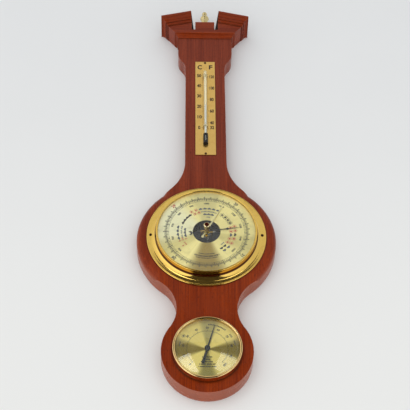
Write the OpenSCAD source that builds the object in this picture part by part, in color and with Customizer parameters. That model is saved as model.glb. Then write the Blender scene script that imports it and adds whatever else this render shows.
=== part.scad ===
// Analogue weather station: a wall-hung wooden board with a thermometer,
// an aneroid barometer and a hygrometer.
// Millimetres. X to the right, Y into the wall, Z up. The wall plane is Y = 0 and
// the origin is the centre of the keyhole in the hanger plate.
// "Out" means the distance from the wall towards the viewer, which is -Y.

/* [Board] */
// Thickness of the board
board_t = 20; // [18:1:26]
// Width of the neck that carries the thermometer
neck_w = 47.4; // [44:0.2:60]
// Width of the top of the board under the head block
head_w = 66; // [62:0.5:74]
// Radius of the round that carries the barometer
disc_r = 76; // [72:0.5:90]
// Radius of the foot that carries the hygrometer
foot_r = 47; // [42:0.5:54]
// Width of the waist between barometer and hygrometer
waist_w = 63.2; // [56:0.2:74]
// Keyhole centre down to the barometer centre
dial_drop = 265; // [245:1:330]
// Barometer centre down to the centre of the round
disc_offset = 1.5; // [0:0.5:3]
// Centre of the round down to the centre of the foot
foot_drop = 140; // [132:1:160]
// Radius of the sweep from the neck into the round
neck_sweep_r = 55; // [40:1:70]
// Barometer centre up to the start of the shoulders
shoulder_z = 250; // [246:1:252]
// Height of the S-shaped shoulders
shoulder_h = 26; // [20:1:32]
// Barometer centre up to the top of the board
board_top_z = 308.5; // [304:0.5:314]
// Radius of the stopped round-over on the sides of the round
round_over_r = 7; // [4:0.5:9]
// Radius of the pilot of the round-over cutter
cutter_pilot_r = 6; // [4:0.5:10]
// Angle above the horizontal where the round-over starts
round_over_top_a = 50; // [40:1:52]
// Angle below the horizontal where the round-over stops
round_over_low_a = 42; // [30:1:46]

/* [Head block] */
// How far the head block stands proud of the board
block_proud = 5; // [3:0.5:8]
// Width of the head block where it sits on the board
block_low_w = 75; // [74:0.5:84]
// Width of the head block under the crown
block_high_w = 91.4; // [88:0.2:100]
// Height of the flared part of the head block
flare_h = 10; // [8:0.5:14]
// Width of the plinth under the finial
plinth_w = 23.8; // [20:0.2:26]
// Height of the plinth top above the bottom of the head block
plinth_h = 18.2; // [14:0.2:22]
// Height of the slot floors above the bottom of the head block
slot_floor_h = 4.9; // [3:0.1:8]
// Gap between plinth and crown at the wall
slot_w = 1.6; // [1.2:0.1:3]
// How much wider the gap is at the front of the crown
gap_splay = 3.8; // [0:0.2:6]
// Diameter of the dowels between board and head block
dowel_d = 6; // [5:1:8]
// Length of the dowels
dowel_l = 24; // [20:1:30]
// Distance between the dowels
dowel_gap = 40; // [30:1:50]

/* [Mouldings] */
// How far the crown stands out from the head block
crown_proud = 8.9; // [7:0.1:11]
// Height of the crown, measured upright
crown_h = 12.2; // [11:0.1:15]
// Slope of the crown towards the middle, in degrees
crown_rake = 14; // [0:0.5:18]
// Height of the flat band at the top of the crown
crown_band_h = 3.4; // [2:0.1:4.5]
// Height of the collar under the head block
collar_h = 6.5; // [5:0.5:9]
// Height of the flat lip of the collar
collar_lip_h = 1.2; // [0.8:0.1:2]

/* [Finial] */
// Height of the finial above the plinth
finial_h = 30.2; // [26:0.2:36]
// Radius of the finial at its widest
finial_r = 5.4; // [4.6:0.1:6.5]
// Radius of the ball on top of the finial
finial_ball_r = 3.1; // [2.4:0.1:3.6]
// Radius of the finial's threaded pin
finial_pin_r = 1.8; // [1.4:0.1:2.2]
// Length of the finial's threaded pin
finial_pin_l = 9; // [6:1:11]

/* [Hanger] */
// Radius of the round entry of the keyhole
keyhole_r = 4.5; // [4:0.1:5.5]
// Width of the keyhole slot
keyslot_w = 4.6; // [3.6:0.1:5.4]
// Length of the keyhole slot above the entry centre
keyslot_l = 10; // [8:0.5:12]
// Width of the hanger plate
hanger_w = 19; // [17:0.5:24]
// Height of the hanger plate
hanger_h = 42; // [38:1:48]
// Thickness of the hanger plate
hanger_t = 1.6; // [1.2:0.1:2]
// Depth of the pocket for the wall screw's head
pocket_d = 8; // [7:0.5:10]

/* [Thermometer] */
// Width of the thermometer plate
plate_w = 23.6; // [20:0.2:30]
// Length of the thermometer plate
plate_l = 147.6; // [142:0.2:156]
// Thickness of the thermometer plate
plate_t = 0.8; // [0.6:0.1:1.2]
// Barometer centre up to the middle of the thermometer plate
plate_z = 187.5; // [184:0.5:192]
// Distance of each plate pin from the end of the plate
plate_pin_inset = 1.9; // [1.8:0.1:3]
// Barometer centre up to the zero mark of the Celsius scale
zero_z = 155.1; // [150:0.1:160]
// Height of ten degrees Celsius on the scale
ten_degrees = 16.62; // [15:0.02:17.4]
// Temperature that the column shows, in degrees Celsius
shown_c = 20; // [0:1:40]
// Radius of the thermometer tube
tube_r = 1.9; // [1.6:0.05:2.4]
// Radius of the bore of the tube
tube_bore_r = 0.9; // [0.7:0.05:1.1]
// Radius of the bulb of the tube
bulb_r = 2.1; // [2:0.1:2.8]
// Barometer centre up to the centre of the bulb
bulb_z = 133; // [130:0.5:136]
// Barometer centre up to the top of the tube
tube_top_z = 244; // [241:0.5:247]
// Wall of the guard over the bulb
guard_wall = 0.6; // [0.5:0.1:1]
// Length of the guard over the bulb
guard_l = 14; // [12:0.5:16]
// Distance of the upper clip below the top of the tube
upper_clip_drop = 9; // [6:1:20]
// Distance of the lower clip above the bulb
lower_clip_rise = 22; // [16:1:40]

/* [Barometer] */
// Radius of the barometer flange
bezel_r = 65; // [62:0.5:70]
// Radius of the raised wall of the bezel
wall_r = 54.9; // [53:0.1:57]
// Height of the bezel above the board
bezel_h = 12; // [11:0.5:16]
// Thickness of the spun brass
sheet_t = 0.9; // [0.7:0.1:1.1]
// How far the lip of the bezel reaches over the glass
lip_w = 2.1; // [1.6:0.1:2.8]
// Radius of the cove between flange and wall
cove_r = 6.3; // [5:0.1:7]
// Radius of the rolled rim
rim_bead_r = 0.8; // [0.6:0.1:1]
// Radius at which the two bezel screws sit
bezel_screw_at = 60.4; // [59:0.1:61.5]
// Radius of the bezel screw heads
bezel_screw_head_r = 1.8; // [1.5:0.1:2.2]
// Thickness of the barometer glass
glass_t = 1.4; // [1.2:0.1:2]
// Radius of the hole for the set-hand spindle
glass_hole_r = 1.5; // [1.2:0.1:2]
// Thickness of the dial plates
dial_t = 0.6; // [0.4:0.1:0.8]
// Height of the spacer ring between dial and glass
spacer_h = 2; // [1.8:0.1:3]
// Radius of the open centre of the dial
dial_hole_r = 15; // [12:0.5:18]
// Radius of the barometer case
case_r = 50.6; // [48:0.2:51]
// Thickness of the case metal
case_wall = 0.8; // [0.6:0.1:1]
// Gap between the back of the case and the wall plane
case_back_gap = 1.6; // [1.4:0.1:3]
// Clearance of the case in the hole of the board
case_clearance = 0.6; // [0.4:0.1:1.4]
// Length of the pointer from its axis to its tip
pointer_l = 38; // [32:0.5:44]
// Length of the pointer's tail
pointer_tail_l = 19; // [16:0.5:22]
// Direction of the pointer, clockwise from the top, in degrees
pointer_a = 81.4; // [-140:0.2:140]
// Length of the set hand
set_hand_l = 40; // [34:0.5:44]
// Direction of the set hand, clockwise from the top, in degrees
set_hand_a = 28; // [0:1:359]
// Height of the set knob above the glass
set_knob_h = 10; // [8:0.5:14]
// Radius of the set knob
set_knob_r = 3.5; // [3:0.1:5]

/* [Barometer movement] */
// Radius of the movement plate
base_r = 38; // [37:0.5:42]
// Thickness of the movement plate
base_t = 2; // [1.6:0.1:2.4]
// Radius of the aneroid capsule
capsule_r = 17; // [14:0.5:18]
// Thickness of the aneroid capsule
capsule_t = 6.6; // [5.6:0.2:7]
// Gap between movement plate and capsule
capsule_gap = 1.4; // [1.2:0.1:2]
// Radius of the regulating screw
regulator_r = 2.5; // [2:0.1:3]
// Thickness of the main spring
spring_t = 0.8; // [0.6:0.1:1]
// Width of the main spring
spring_w = 14; // [12:0.5:16]
// Radius of the arbor
arbor_r = 0.5; // [0.45:0.05:0.6]
// Radius of the chain drum on the arbor
drum_r = 0.9; // [0.9:0.05:1.2]
// Length of the short arm that the lever's link moves
rock_in_l = 2.5; // [2:0.1:4]
// Height of the rocking shaft above the movement plate
rock_rise = 6.6; // [5:0.1:8]
// Dial centre down to the rocking shaft
rock_drop = 20; // [19:0.5:21]
// Radius of the rocking shaft
rock_r = 0.9; // [0.7:0.05:1]
// Width of the main lever
lever_w = 3.6; // [2.4:0.1:4.2]
// Turns of the hairspring
hair_turns = 3.5; // [2:0.5:3.5]

/* [Hygrometer] */
// Radius of the hygrometer bezel
hyg_bezel_r = 35.5; // [34:0.1:38]
// Height of the hygrometer bezel above the board
hyg_bezel_h = 8; // [7:0.1:10]
// Width of the lip of the hygrometer bezel
hyg_lip_w = 2.5; // [2:0.1:3]
// Height of the dome of the hygrometer glass
hyg_dome_h = 3.2; // [0.5:0.1:4]
// Thickness of the hygrometer glass
hyg_glass_t = 1.2; // [1:0.1:1.6]
// Radius of the hygrometer case
hyg_case_r = 31; // [28:0.2:31.4]
// Gap between the back of the hygrometer case and the wall plane
hyg_case_gap = 3; // [2:0.2:5]
// Length of the hygrometer pointer
hyg_pointer_l = 28.5; // [24:0.5:30.5]
// Length of the tail of the hygrometer pointer
hyg_tail_l = 17; // [12:0.5:20]
// Direction of the hygrometer pointer, clockwise from the top, in degrees
hyg_pointer_a = 15.5; // [-135:0.5:135]
// Turns of the humidity coil
coil_turns = 5; // [3:0.5:5]
// Gap from turn to turn of the humidity coil
coil_pitch = 1.7; // [1.3:0.1:1.8]

/* [Fits] */
// Gap round a part that drops into a recess
seat_gap = 0.2; // [0.1:0.05:0.4]
// Radial running clearance of shafts and pins
running = 0.05; // [0.02:0.01:0.1]
// Gap round a press-in case
press_gap = 0.05; // [0.02:0.01:0.1]

/* [Hidden] */
$fn = 96;

wood = [0.45, 0.19, 0.12];
brass = [0.83, 0.66, 0.32];
pale_gold = [0.84, 0.80, 0.58];
steel = [0.62, 0.62, 0.64];
black = [0.08, 0.08, 0.09];

// Heights, measured up from the barometer centre, are moved to the keyhole's origin
function up(z) = z - dial_drop;
dial_z = up(0);
disc_z = up(-disc_offset);
foot_z = disc_z - foot_drop;
board_top = up(board_top_z);
block_t = board_t + block_proud;
neck_half = neck_w / 2;
head_half = head_w / 2;

// The sweep circle touches the neck's side and the round
sweep_x = neck_half + neck_sweep_r;
sweep_z = disc_z + sqrt(pow(disc_r + neck_sweep_r, 2) - pow(sweep_x, 2));

// The waist circle touches the round and the foot, and leaves the waist's width between
waist_half = waist_w / 2;
waist_a = (foot_r * foot_r - disc_r * disc_r - foot_drop * foot_drop) / (2 * foot_drop);
waist_b = (foot_r - disc_r) / foot_drop;
waist_p = waist_half + waist_a * waist_b - disc_r;
waist_q = waist_half * waist_half + waist_a * waist_a - disc_r * disc_r;
waist_r = (-waist_p - sqrt(waist_p * waist_p - waist_b * waist_b * waist_q)) / (waist_b * waist_b);
waist_x = waist_half + waist_r;
waist_z = disc_z + waist_a + waist_b * waist_r;

// The blend circles bite this far into what they meet, so that the outline is one piece
blend_bite = 0.05;
cutter_plunge = 0.15;

// The shoulder is two equal arcs
shoulder_in = head_half - neck_half;
shoulder_r = (shoulder_in * shoulder_in + shoulder_h * shoulder_h) / (4 * shoulder_in);
shoulder_low = up(shoulder_z);
shoulder_top = shoulder_low + shoulder_h;

// Head block and crown
block_low = board_top;
block_low_half = block_low_w / 2;
block_high_half = block_high_w / 2;
flare_top = block_low + flare_h;
rake_slope = tan(crown_rake);
crown_half = block_high_half + crown_proud;
crown_front = block_t + crown_proud;
plinth_half = plinth_w / 2;
plinth_top = block_low + plinth_h;
slot_floor = block_low + slot_floor_h;
gap_half = plinth_half + slot_w;
plinth_mid = block_t / 2;
collar_side = block_low_half - head_half;
mitre_over = 2;

// Cutters reach this far past what they cut, holes are this much deeper than what they
// take, and solids of one piece run this far into each other
over = 1;
hole_spare = 0.5;
bite = 0.1;

// Hanger
hanger_low = -15.12;
hanger_corner = 3;
hanger_screw_inset = 4.5;
countersink_land = 0.3;
screw_slot_w = 0.6;
hanger_screw_r = 1.6;
hanger_head_r = 2.9;
hanger_screw_l = 12;
pocket_r = keyhole_r + 1.6;
pocket_slot_w = 2 * keyhole_r + 1.6;

// Thermometer
plate_mid = up(plate_z);
plate_top = plate_mid + plate_l / 2;
plate_low = plate_mid - plate_l / 2;
plate_face = board_t + plate_t;
tube_y = plate_face + max(bulb_r, tube_r + running);
bulb_bore_r = bulb_r - 0.6 * (tube_r - tube_bore_r);
bulb_at = up(bulb_z);
tube_top = up(tube_top_z);
level = up(zero_z) + shown_c * ten_degrees / 10;
column_r = tube_bore_r - running;
meniscus_h = 1.2;
meniscus_dome_h = 0.4 * column_r;
plate_pin_r = 0.9;
plate_pin_head_r = 1.5;
plate_pin_l = 7;
clip_t = 0.7;
clip_l = 1.4;
clip_play = 0.1;
guard_below = 2;
guard_floor = 1;
guard_slot_w = 1.6;

// Barometer stack, as distances out from the wall
case_back = case_back_gap;
lip_out = board_t + bezel_h;
glass_front = lip_out - 0.6;
glass_back = glass_front - glass_t;
dial_front = glass_back - spacer_h;
dial_back = dial_front - dial_t;
flange_back = dial_back - case_wall;
ring_wire_r = 0.5;
ring_gap = 4;
glass_play = 0.05;
glass_side_gap = 0.1;
inner_r = wall_r - sheet_t;
opening_r = wall_r - lip_w;
glass_r = inner_r - glass_side_gap;
lip_edge_r = 0.6;
lip_chamfer = 0.3;
cove_x = wall_r + cove_r;
cove_out = board_t + 2 * rim_bead_r + 0.1 + cove_r;
case_hole_r = case_r + case_clearance;
bezel_screw_seat = cove_out - cove_r;
bezel_screw_shank_r = 0.6 * bezel_screw_head_r;
bezel_screw_l = 9.5;

// Movement
base_back = case_back + case_wall;
base_front = base_back + base_t;
capsule_back = base_front + capsule_gap;
capsule_front = capsule_back + capsule_t;
leaf_back = capsule_front + 1.2;
leaf_front = leaf_back + spring_t;
post_r = 2;
post_top = leaf_front + 1.6;
knife_r = 0.7;
knife_half = 2.9;
capsule_flat_r = 5;
capsule_waves = 4;
capsule_wave_h = 0.45;
capsule_step = 0.6;
capsule_seam_half = 0.5;
regulator_flange = 1.2;
regulator_gap = 0.3;
regulator_access = 1.4;
spring_root_z = 27;
spring_root_l = 5;
spring_bend_z = 31;
spring_low_z = -9;
spring_screw_x = 4;
spring_screw_r = 1;
lever_lift = 0.3;
lever_t = 1;
lever_back = leaf_front + lever_lift;
lever_front = lever_back + lever_t;
lever_x = -knife_half - 0.5 - lever_w / 2;
lever_top = 12;
lever_end = 2;
bridge_back = leaf_front + 3.2;
bridge_t = 1.4;
bridge_front = bridge_back + bridge_t;
bridge_h = 11;
bridge_end = 4;
pillar_x = 21.5;
pillar_r = 2.2;
pillar_tenon_r = 1;
pillar_tenon_proud = 0.8;
cock_t = 0.8;
cock_leaf_r = 9.6;
cock_leaf_half = 2;
cock_bar_half = 0.9;
cock_back = dial_front - cock_t;
cock_post_x = 5.6;
cock_post_r = 0.9;
drum_l = 1.2;
chain_r = 0.3;
chain_out = cock_back - 0.4 - drum_l / 2;
chain_x = drum_r + chain_r + 0.02;
rock_out = base_front + rock_rise;
rock_arm_l = chain_out - rock_out;
rock_half = 11;
rock_arm_t = 1;
rock_arm_w = 1.2;
rock_arm_end = 0.5;
rock_in_half = 0.6;
rock_in_w = 1.6;
shaft_post_half = 2;
shaft_post_t = 1.6;
shaft_post_inset = 0.4;
link_r = 0.4;
linkage_gap = 0.3;
hair_r = 1.5;
hair_t = 0.25;
hair_h = 0.9;
hair_pitch = 0.72;
hair_stud_r = 0.45;
hair_stud_proud = 0.3;
hair_out = bridge_front + 0.8;
collet_r = hair_r - 0.2;
pointer_out = dial_front + 0.6;
pointer_t = 0.3;
hub_r = 1.5;
hub_front = pointer_out + 0.6;
hub_proud = 0.15;
set_hand_out = glass_back - 0.45;
set_hand_bore = glass_hole_r - 0.5;
set_hand_boss_r = 2.6;
set_hand_tail = 9;
set_hand_tail_r = 1.5;
washer_gap = 0.02;
washer_t = 0.5;
spindle_r = glass_hole_r - running;
screw_ring = [for (a = [30, 150, 270]) 33 * [cos(a), sin(a)]];
plate_screw_r = 1.4;
plate_screw_head_r = 2.6;
plate_screw_head_h = 1.2;

// Hygrometer stack
hyg_z = foot_z;
hyg_inner_r = hyg_bezel_r - sheet_t;
hyg_top = board_t + hyg_bezel_h;
hyg_open_r = hyg_bezel_r - hyg_lip_w;
hyg_glass_r = hyg_inner_r - glass_side_gap;
hyg_glass_front = hyg_top - 0.9;
hyg_glass_back = hyg_glass_front - hyg_glass_t;
hyg_flange_back = board_t + sheet_t;
hyg_dial_back = hyg_flange_back + case_wall;
hyg_dial_front = hyg_dial_back + dial_t;
hyg_case_back = hyg_case_gap;
hyg_arbor_r = 0.7;
hyg_bush_r = 3;
hyg_bush_l = 4;
hyg_bush_floor = 0.6;
hyg_bezel_hole_r = hyg_case_r + 0.4;
hyg_hub_r = 2.9;
vent_ring_r = 20;
vent_r = 2;
hyg_pointer_out = hyg_dial_front + 1.6;
coil_w = 5;
coil_post_r = 0.85;
coil_t = 0.45;
coil_out = hyg_case_back + case_wall + hyg_bush_l + 1;
coil_in_r = 2.2;
coil_out_r = coil_in_r + coil_turns * coil_pitch;

// Helpers

// Points along an arc
function arc(cx, cy, r, a0, a1, n) =
    [for (i = [0:n]) let (a = a0 + (a1 - a0) * i / n) [cx + r * cos(a), cy + r * sin(a)]];

// Outline of a strip that winds outwards from the middle
function spiral(r0, pitch, turns, t) =
    let (n = round(turns * 18), step = 360 / 18)
    concat(
        [for (i = [0:n]) (r0 + pitch * i / 18) * [cos(i * step), sin(i * step)]],
        [for (i = [n:-1:0]) (r0 + pitch * i / 18 + t) * [cos(i * step), sin(i * step)]]
    );

// A flat shape drawn as the viewer sees it, raised from one distance to another
module slab(from, to) {
    translate([0, -from, 0]) rotate([90, 0, 0]) linear_extrude(to - from) children();
}

// A shape turned about an axis that points at the viewer: profile is [radius, out]
module turned(z, x = 0) {
    translate([x, 0, z]) rotate([90, 0, 0]) rotate_extrude() children();
}

// A round rod that points at the viewer
module rod(x, z, from, to, r, sides = 48) {
    translate([x, -from, z]) rotate([90, 0, 0]) cylinder(r = r, h = to - from, $fn = sides);
}

// Turns what is drawn pointing up to a clock direction about the dial centre
module clock(z, a) {
    translate([0, 0, z]) rotate([0, a, 0]) children();
}

module both_sides() {
    children();
    mirror([1, 0, 0]) children();
}

// A slotted screw with a domed head: its seat is at "seat" and it points into the board
module screw(x, z, seat, head_r, head_h, shank_r, length, slot_w = screw_slot_w) {
    n = 5;
    slot_depth = head_h / 2;
    difference() {
        union() {
            translate([x, 0, z]) rotate([90, 0, 0]) rotate_extrude($fn = 32)
                polygon(concat([[0, seat], [head_r, seat]],
                    [for (i = [1:n]) let (a = 90 * i / n) [head_r * cos(a), seat + head_h * sin(a)]]));
            rod(x, z, seat - length, seat + bite / 10, shank_r, 24);
        }
        translate([x - head_r, -seat - head_h - over, z - slot_w / 2])
            cube([2 * head_r, slot_depth + over, slot_w]);
    }
}

// The board

module sawn() {
    slab(0, board_t) children();
}

module board_blank() {
    sawn() translate([0, disc_z]) circle(disc_r, $fn = 180);
    sawn() translate([0, foot_z]) circle(foot_r, $fn = 180);
    sawn() translate([-neck_half, disc_z]) square([neck_w, board_top - disc_z]);
    sawn() translate([-head_half, shoulder_top]) square([head_w, board_top - shoulder_top]);
    both_sides() {
        sawn() difference() {
            polygon([[0, disc_z], [sweep_x, sweep_z], [0, sweep_z]]);
            translate([sweep_x, sweep_z]) circle(neck_sweep_r + blend_bite, $fn = 180);
        }
        sawn() difference() {
            polygon([[0, disc_z], [waist_x, waist_z], [0, foot_z]]);
            translate([waist_x, waist_z]) circle(waist_r + blend_bite, $fn = 180);
        }
        sawn() difference() {
            polygon([
                [0, shoulder_low], [neck_half + shoulder_r, shoulder_low],
                [head_half - shoulder_r, shoulder_top], [0, shoulder_top]
            ]);
            translate([neck_half + shoulder_r, shoulder_low]) circle(shoulder_r);
        }
        sawn() translate([head_half - shoulder_r, shoulder_top]) circle(shoulder_r);
    }
}

// The round-over is cut along both sides of the round, and the cutter bites a little
// deeper where it starts and stops
module round_over() {
    front = board_t - round_over_r;
    r = round_over_r + blend_bite;
    sweep = round_over_top_a + round_over_low_a;
    reach = disc_r + cutter_pilot_r - cutter_plunge;
    for (side = [0, 1]) mirror([side, 0, 0]) {
        translate([0, 0, disc_z]) rotate([90, 0, 0]) rotate([0, 0, -round_over_low_a])
            rotate_extrude(angle = sweep, $fn = 180) difference() {
                translate([disc_r - round_over_r, front])
                    square([round_over_r + over, round_over_r + over]);
                translate([disc_r - round_over_r, front]) circle(r);
            }
        for (a = [round_over_top_a, -round_over_low_a])
            turned(disc_z + reach * sin(a), reach * cos(a)) difference() {
                translate([0, front]) square([cutter_pilot_r + round_over_r, round_over_r + over]);
                translate([cutter_pilot_r + round_over_r, front]) circle(r);
            }
    }
}

module hanger_outline(grow) {
    corner = hanger_corner;
    half = hanger_w / 2 + grow;
    low = hanger_low - grow;
    high = hanger_low + hanger_h + grow;
    translate([-half, low + corner]) square([2 * half, high - low - 2 * corner]);
    translate([-half + corner, low]) square([2 * half - 2 * corner, high - low]);
    for (x = [-half + corner, half - corner], z = [low + corner, high - corner])
        translate([x, z]) circle(corner, $fn = 32);
}

module pocket_outline() {
    circle(pocket_r, $fn = 48);
    translate([-pocket_slot_w / 2, 0]) square([pocket_slot_w, keyslot_l]);
    translate([0, keyslot_l]) circle(pocket_slot_w / 2, $fn = 48);
}

hanger_screw_z = [hanger_low + hanger_screw_inset, hanger_low + hanger_h - hanger_screw_inset];
plate_pin_z = [plate_low + plate_pin_inset, plate_top - plate_pin_inset];

module back_board() {
    color(wood) difference() {
        board_blank();
        round_over();
        rod(0, dial_z, -over, board_t + over, case_hole_r, 180);
        rod(0, hyg_z, -over, board_t + over, hyg_case_r + press_gap, 180);
        slab(-over, hanger_t) hanger_outline(seat_gap);
        slab(-over, pocket_d) pocket_outline();
        for (z = hanger_screw_z)
            rod(0, z, 0, hanger_screw_l + 2 * hole_spare, hanger_screw_r + running, 24);
        for (z = plate_pin_z)
            rod(0, z, board_t - plate_pin_l - hole_spare, board_t + over, plate_pin_r + running, 24);
        for (x = [-1, 1] * bezel_screw_at)
            rod(x, dial_z, bezel_screw_seat - bezel_screw_l - hole_spare, board_t + over,
                bezel_screw_shank_r + running, 24);
        for (x = [-1, 1] * dowel_gap / 2)
            translate([x, -board_t / 2, board_top - dowel_l / 2 - hole_spare])
                cylinder(d = dowel_d + 2 * running, h = dowel_l);
    }
}

// The head

module crown_top_line() {
    top = flare_top + crown_h;
    polygon([
        [-block_high_half, flare_top], [block_high_half, flare_top],
        [block_high_half, top], [0, top + rake_slope * block_high_half],
        [-block_high_half, top]
    ]);
}

// The gap between the two halves of the crown, seen from above
module gap_plan() {
    front = crown_front + over;
    widen = gap_splay * front / crown_front;
    polygon([
        [-gap_half, over], [gap_half, over], [gap_half + widen, -front], [-gap_half - widen, -front]
    ]);
}

module head_block() {
    tall = 60;
    color(wood) difference() {
        slab(0, block_t) {
            polygon([
                [-block_low_half, block_low], [block_low_half, block_low],
                [block_high_half, flare_top], [-block_high_half, flare_top]
            ]);
            crown_top_line();
        }
        translate([0, 0, slot_floor]) linear_extrude(tall) difference() {
            gap_plan();
            translate([-plinth_half, -crown_front - 2 * over])
                square([plinth_w, crown_front + 4 * over]);
        }
        translate([-plinth_half - slot_w, -block_t - over, plinth_top])
            cube([plinth_w + 2 * slot_w, block_t + 2 * over, tall]);
        translate([0, -plinth_mid, plinth_top - finial_pin_l - hole_spare])
            cylinder(r = finial_pin_r + running, h = finial_pin_l + over, $fn = 24);
        for (x = [-1, 1] * dowel_gap / 2)
            translate([x, -board_t / 2, block_low - over])
                cylinder(d = dowel_d + 2 * running, h = dowel_l / 2 + over + hole_spare);
    }
}

module head_dowels() {
    color([0.78, 0.62, 0.42])
        for (x = [-1, 1] * dowel_gap / 2)
            translate([x, -board_t / 2, board_top - dowel_l / 2]) cylinder(d = dowel_d, h = dowel_l);
}

// Section of the crown: [out from the block, up from its lower edge]
function crown_section(squash, drop) =
    let (
        band = crown_h - crown_band_h,
        step = 0.9,
        cove_low = 3.6,
        cove_x0 = 3.3,
        cove_x1 = crown_proud - step,
        cove_slack = 0.35,
        foot = 0.6,
        bead = 1.9,
        bead_h = 2.6,
        n = 8,
        upright = concat(
            [[0, crown_h], [crown_proud, crown_h], [crown_proud, band], [cove_x1, band]],
            [for (i = [1:n]) let (a = 90 * i / n)
                [cove_x1 - (cove_x1 - cove_x0) * sin(a),
                 cove_low + (band - cove_low)
                    * (cove_slack * (1 - sin(a)) + (1 - cove_slack) * cos(a))]],
            [[foot + bead, cove_low]],
            [for (i = [1:5]) let (a = 90 * i / 5) [foot + bead * cos(a), cove_low - bead_h * sin(a)]],
            [[foot, 0], [0, 0]]
        )
    )
    [for (q = upright) [q[0], (q[1] - drop * q[0]) * squash]];

module crown_front_piece() {
    tall = 90;
    reach = block_high_half + crown_proud + 4;
    low = flare_top - rake_slope * (reach - block_high_half);
    color(wood) intersection() {
        translate([reach, -block_t, low]) rotate([0, crown_rake, 0]) rotate([90, 0, -90])
            linear_extrude(reach) polygon(crown_section(cos(crown_rake), 0));
        translate([0, 0, block_low - 20]) linear_extrude(tall) difference() {
            polygon([
                [0, -block_t], [block_high_half, -block_t],
                [crown_half + mitre_over, -crown_front - mitre_over], [0, -crown_front - mitre_over]
            ]);
            gap_plan();
        }
    }
}

module crown_return_piece() {
    tall = 90;
    color(wood) intersection() {
        translate([block_high_half, 0, flare_top]) rotate([90, 0, 0])
            linear_extrude(crown_front + over) polygon(crown_section(1, rake_slope));
        translate([0, 0, block_low - 20]) linear_extrude(tall)
            polygon([
                [block_high_half, 0], [block_high_half, -block_t],
                [crown_half + mitre_over, -crown_front - mitre_over], [crown_half + mitre_over, 0]
            ]);
    }
}

module crown_left_front() mirror([1, 0, 0]) crown_front_piece();
module crown_left_return() mirror([1, 0, 0]) crown_return_piece();
module crown_right_front() crown_front_piece();
module crown_right_return() crown_return_piece();

// Section of the collar: [out, up from its lower edge]
function collar_section(proud) =
    let (foot = 0.6, n = 8)
    concat(
        [[0, 0], [0, collar_h], [proud, collar_h], [proud, collar_h - collar_lip_h]],
        [for (i = [1:n]) let (a = 90 * i / n)
            [proud - (proud - foot) * sin(a), (collar_h - collar_lip_h) * cos(a)]]
    );

module collar_front() {
    side = collar_side;
    color(wood) intersection() {
        translate([block_low_half + over, -board_t, board_top - collar_h]) rotate([90, 0, -90])
            linear_extrude(block_low_w + 2 * over) polygon(collar_section(block_proud));
        translate([0, 0, board_top - collar_h - over]) linear_extrude(collar_h + 2 * over)
            polygon([
                [-head_half, -board_t], [head_half, -board_t],
                [head_half + side, -block_t], [-head_half - side, -block_t]
            ]);
    }
}

module collar_side_piece() {
    color(wood) intersection() {
        translate([head_half, 0, board_top - collar_h]) rotate([90, 0, 0])
            linear_extrude(block_t) polygon(collar_section(collar_side));
        translate([0, 0, board_top - collar_h - over]) linear_extrude(collar_h + 2 * over)
            polygon([
                [head_half, 0], [head_half, -board_t],
                [block_low_half, -block_t], [block_low_half, 0]
            ]);
    }
}

module collar_left() mirror([1, 0, 0]) collar_side_piece();
module collar_right() collar_side_piece();

// The finial is turned about an upright axis in the middle of the plinth. Its profile is
// [radius, height]: a foot, a neck and a bead, then the bulge and the ball
module finial() {
    ball = finial_h - finial_ball_r;
    wide = 0.62 * finial_h;
    bulge_w = 1.4;
    bulge_h = 2.2;
    n = 8;
    color(brass) translate([0, -plinth_mid, plinth_top]) {
        rotate_extrude() polygon(concat(
            [[0, 0], [4.4, 0], [4.4, 1.2], [3.6, 1.6], [2.4, 3.2], [2.1, 5], [2.6, 6.4], [3.6, 7]],
            [[3.9, 8.4], [3.2, 9.6], [3.6, 11.4], [4.2, wide - 3.4]],
            [for (a = [-60:20:60]) [finial_r - bulge_w + bulge_w * cos(a), wide + bulge_h * sin(a)]],
            [[3, wide + 3], [2, wide + 4]],
            [for (i = [1:n]) let (a = -50 + 140 * i / n)
                [max(0, finial_ball_r * cos(a)), ball + finial_ball_r * sin(a)]]
        ));
        translate([0, 0, -finial_pin_l]) cylinder(r = finial_pin_r, h = finial_pin_l + bite, $fn = 24);
    }
}

// The hanger

module hanger_plate() {
    color(brass) difference() {
        slab(0, hanger_t) difference() {
            hanger_outline(0);
            circle(keyhole_r, $fn = 64);
            translate([-keyslot_w / 2, 0]) square([keyslot_w, keyslot_l]);
            translate([0, keyslot_l]) circle(keyslot_w / 2, $fn = 32);
        }
        for (z = hanger_screw_z) turned(z)
            polygon([
                [0, -bite], [hanger_head_r + running, -bite], [hanger_head_r + running, 0],
                [hanger_screw_r + running, hanger_t - countersink_land],
                [hanger_screw_r + running, hanger_t + over], [0, hanger_t + over]
            ]);
    }
}

module hanger_screws() {
    point_l = 2;
    slot_depth = 0.6;
    color(steel) for (z = hanger_screw_z) difference() {
        turned(z) polygon([
            [0, 0], [hanger_head_r, 0], [hanger_screw_r, hanger_t - countersink_land],
            [hanger_screw_r, hanger_screw_l - point_l], [0, hanger_screw_l]
        ]);
        translate([-hanger_head_r, -slot_depth, z - screw_slot_w / 2])
            cube([2 * hanger_head_r, over, screw_slot_w]);
    }
}

// The thermometer

module thermometer_plate() {
    color(brass) difference() {
        slab(board_t, plate_face)
            translate([-plate_w / 2, plate_low]) square([plate_w, plate_l]);
        for (z = plate_pin_z) rod(0, z, board_t - over, plate_face + over, plate_pin_r + running, 24);
    }
}

module plate_pins() {
    head_h = 0.9;
    color(brass) for (z = plate_pin_z)
        screw(0, z, plate_face, plate_pin_head_r, head_h, plate_pin_r, plate_pin_l + plate_t, 0.01);
}

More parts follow.
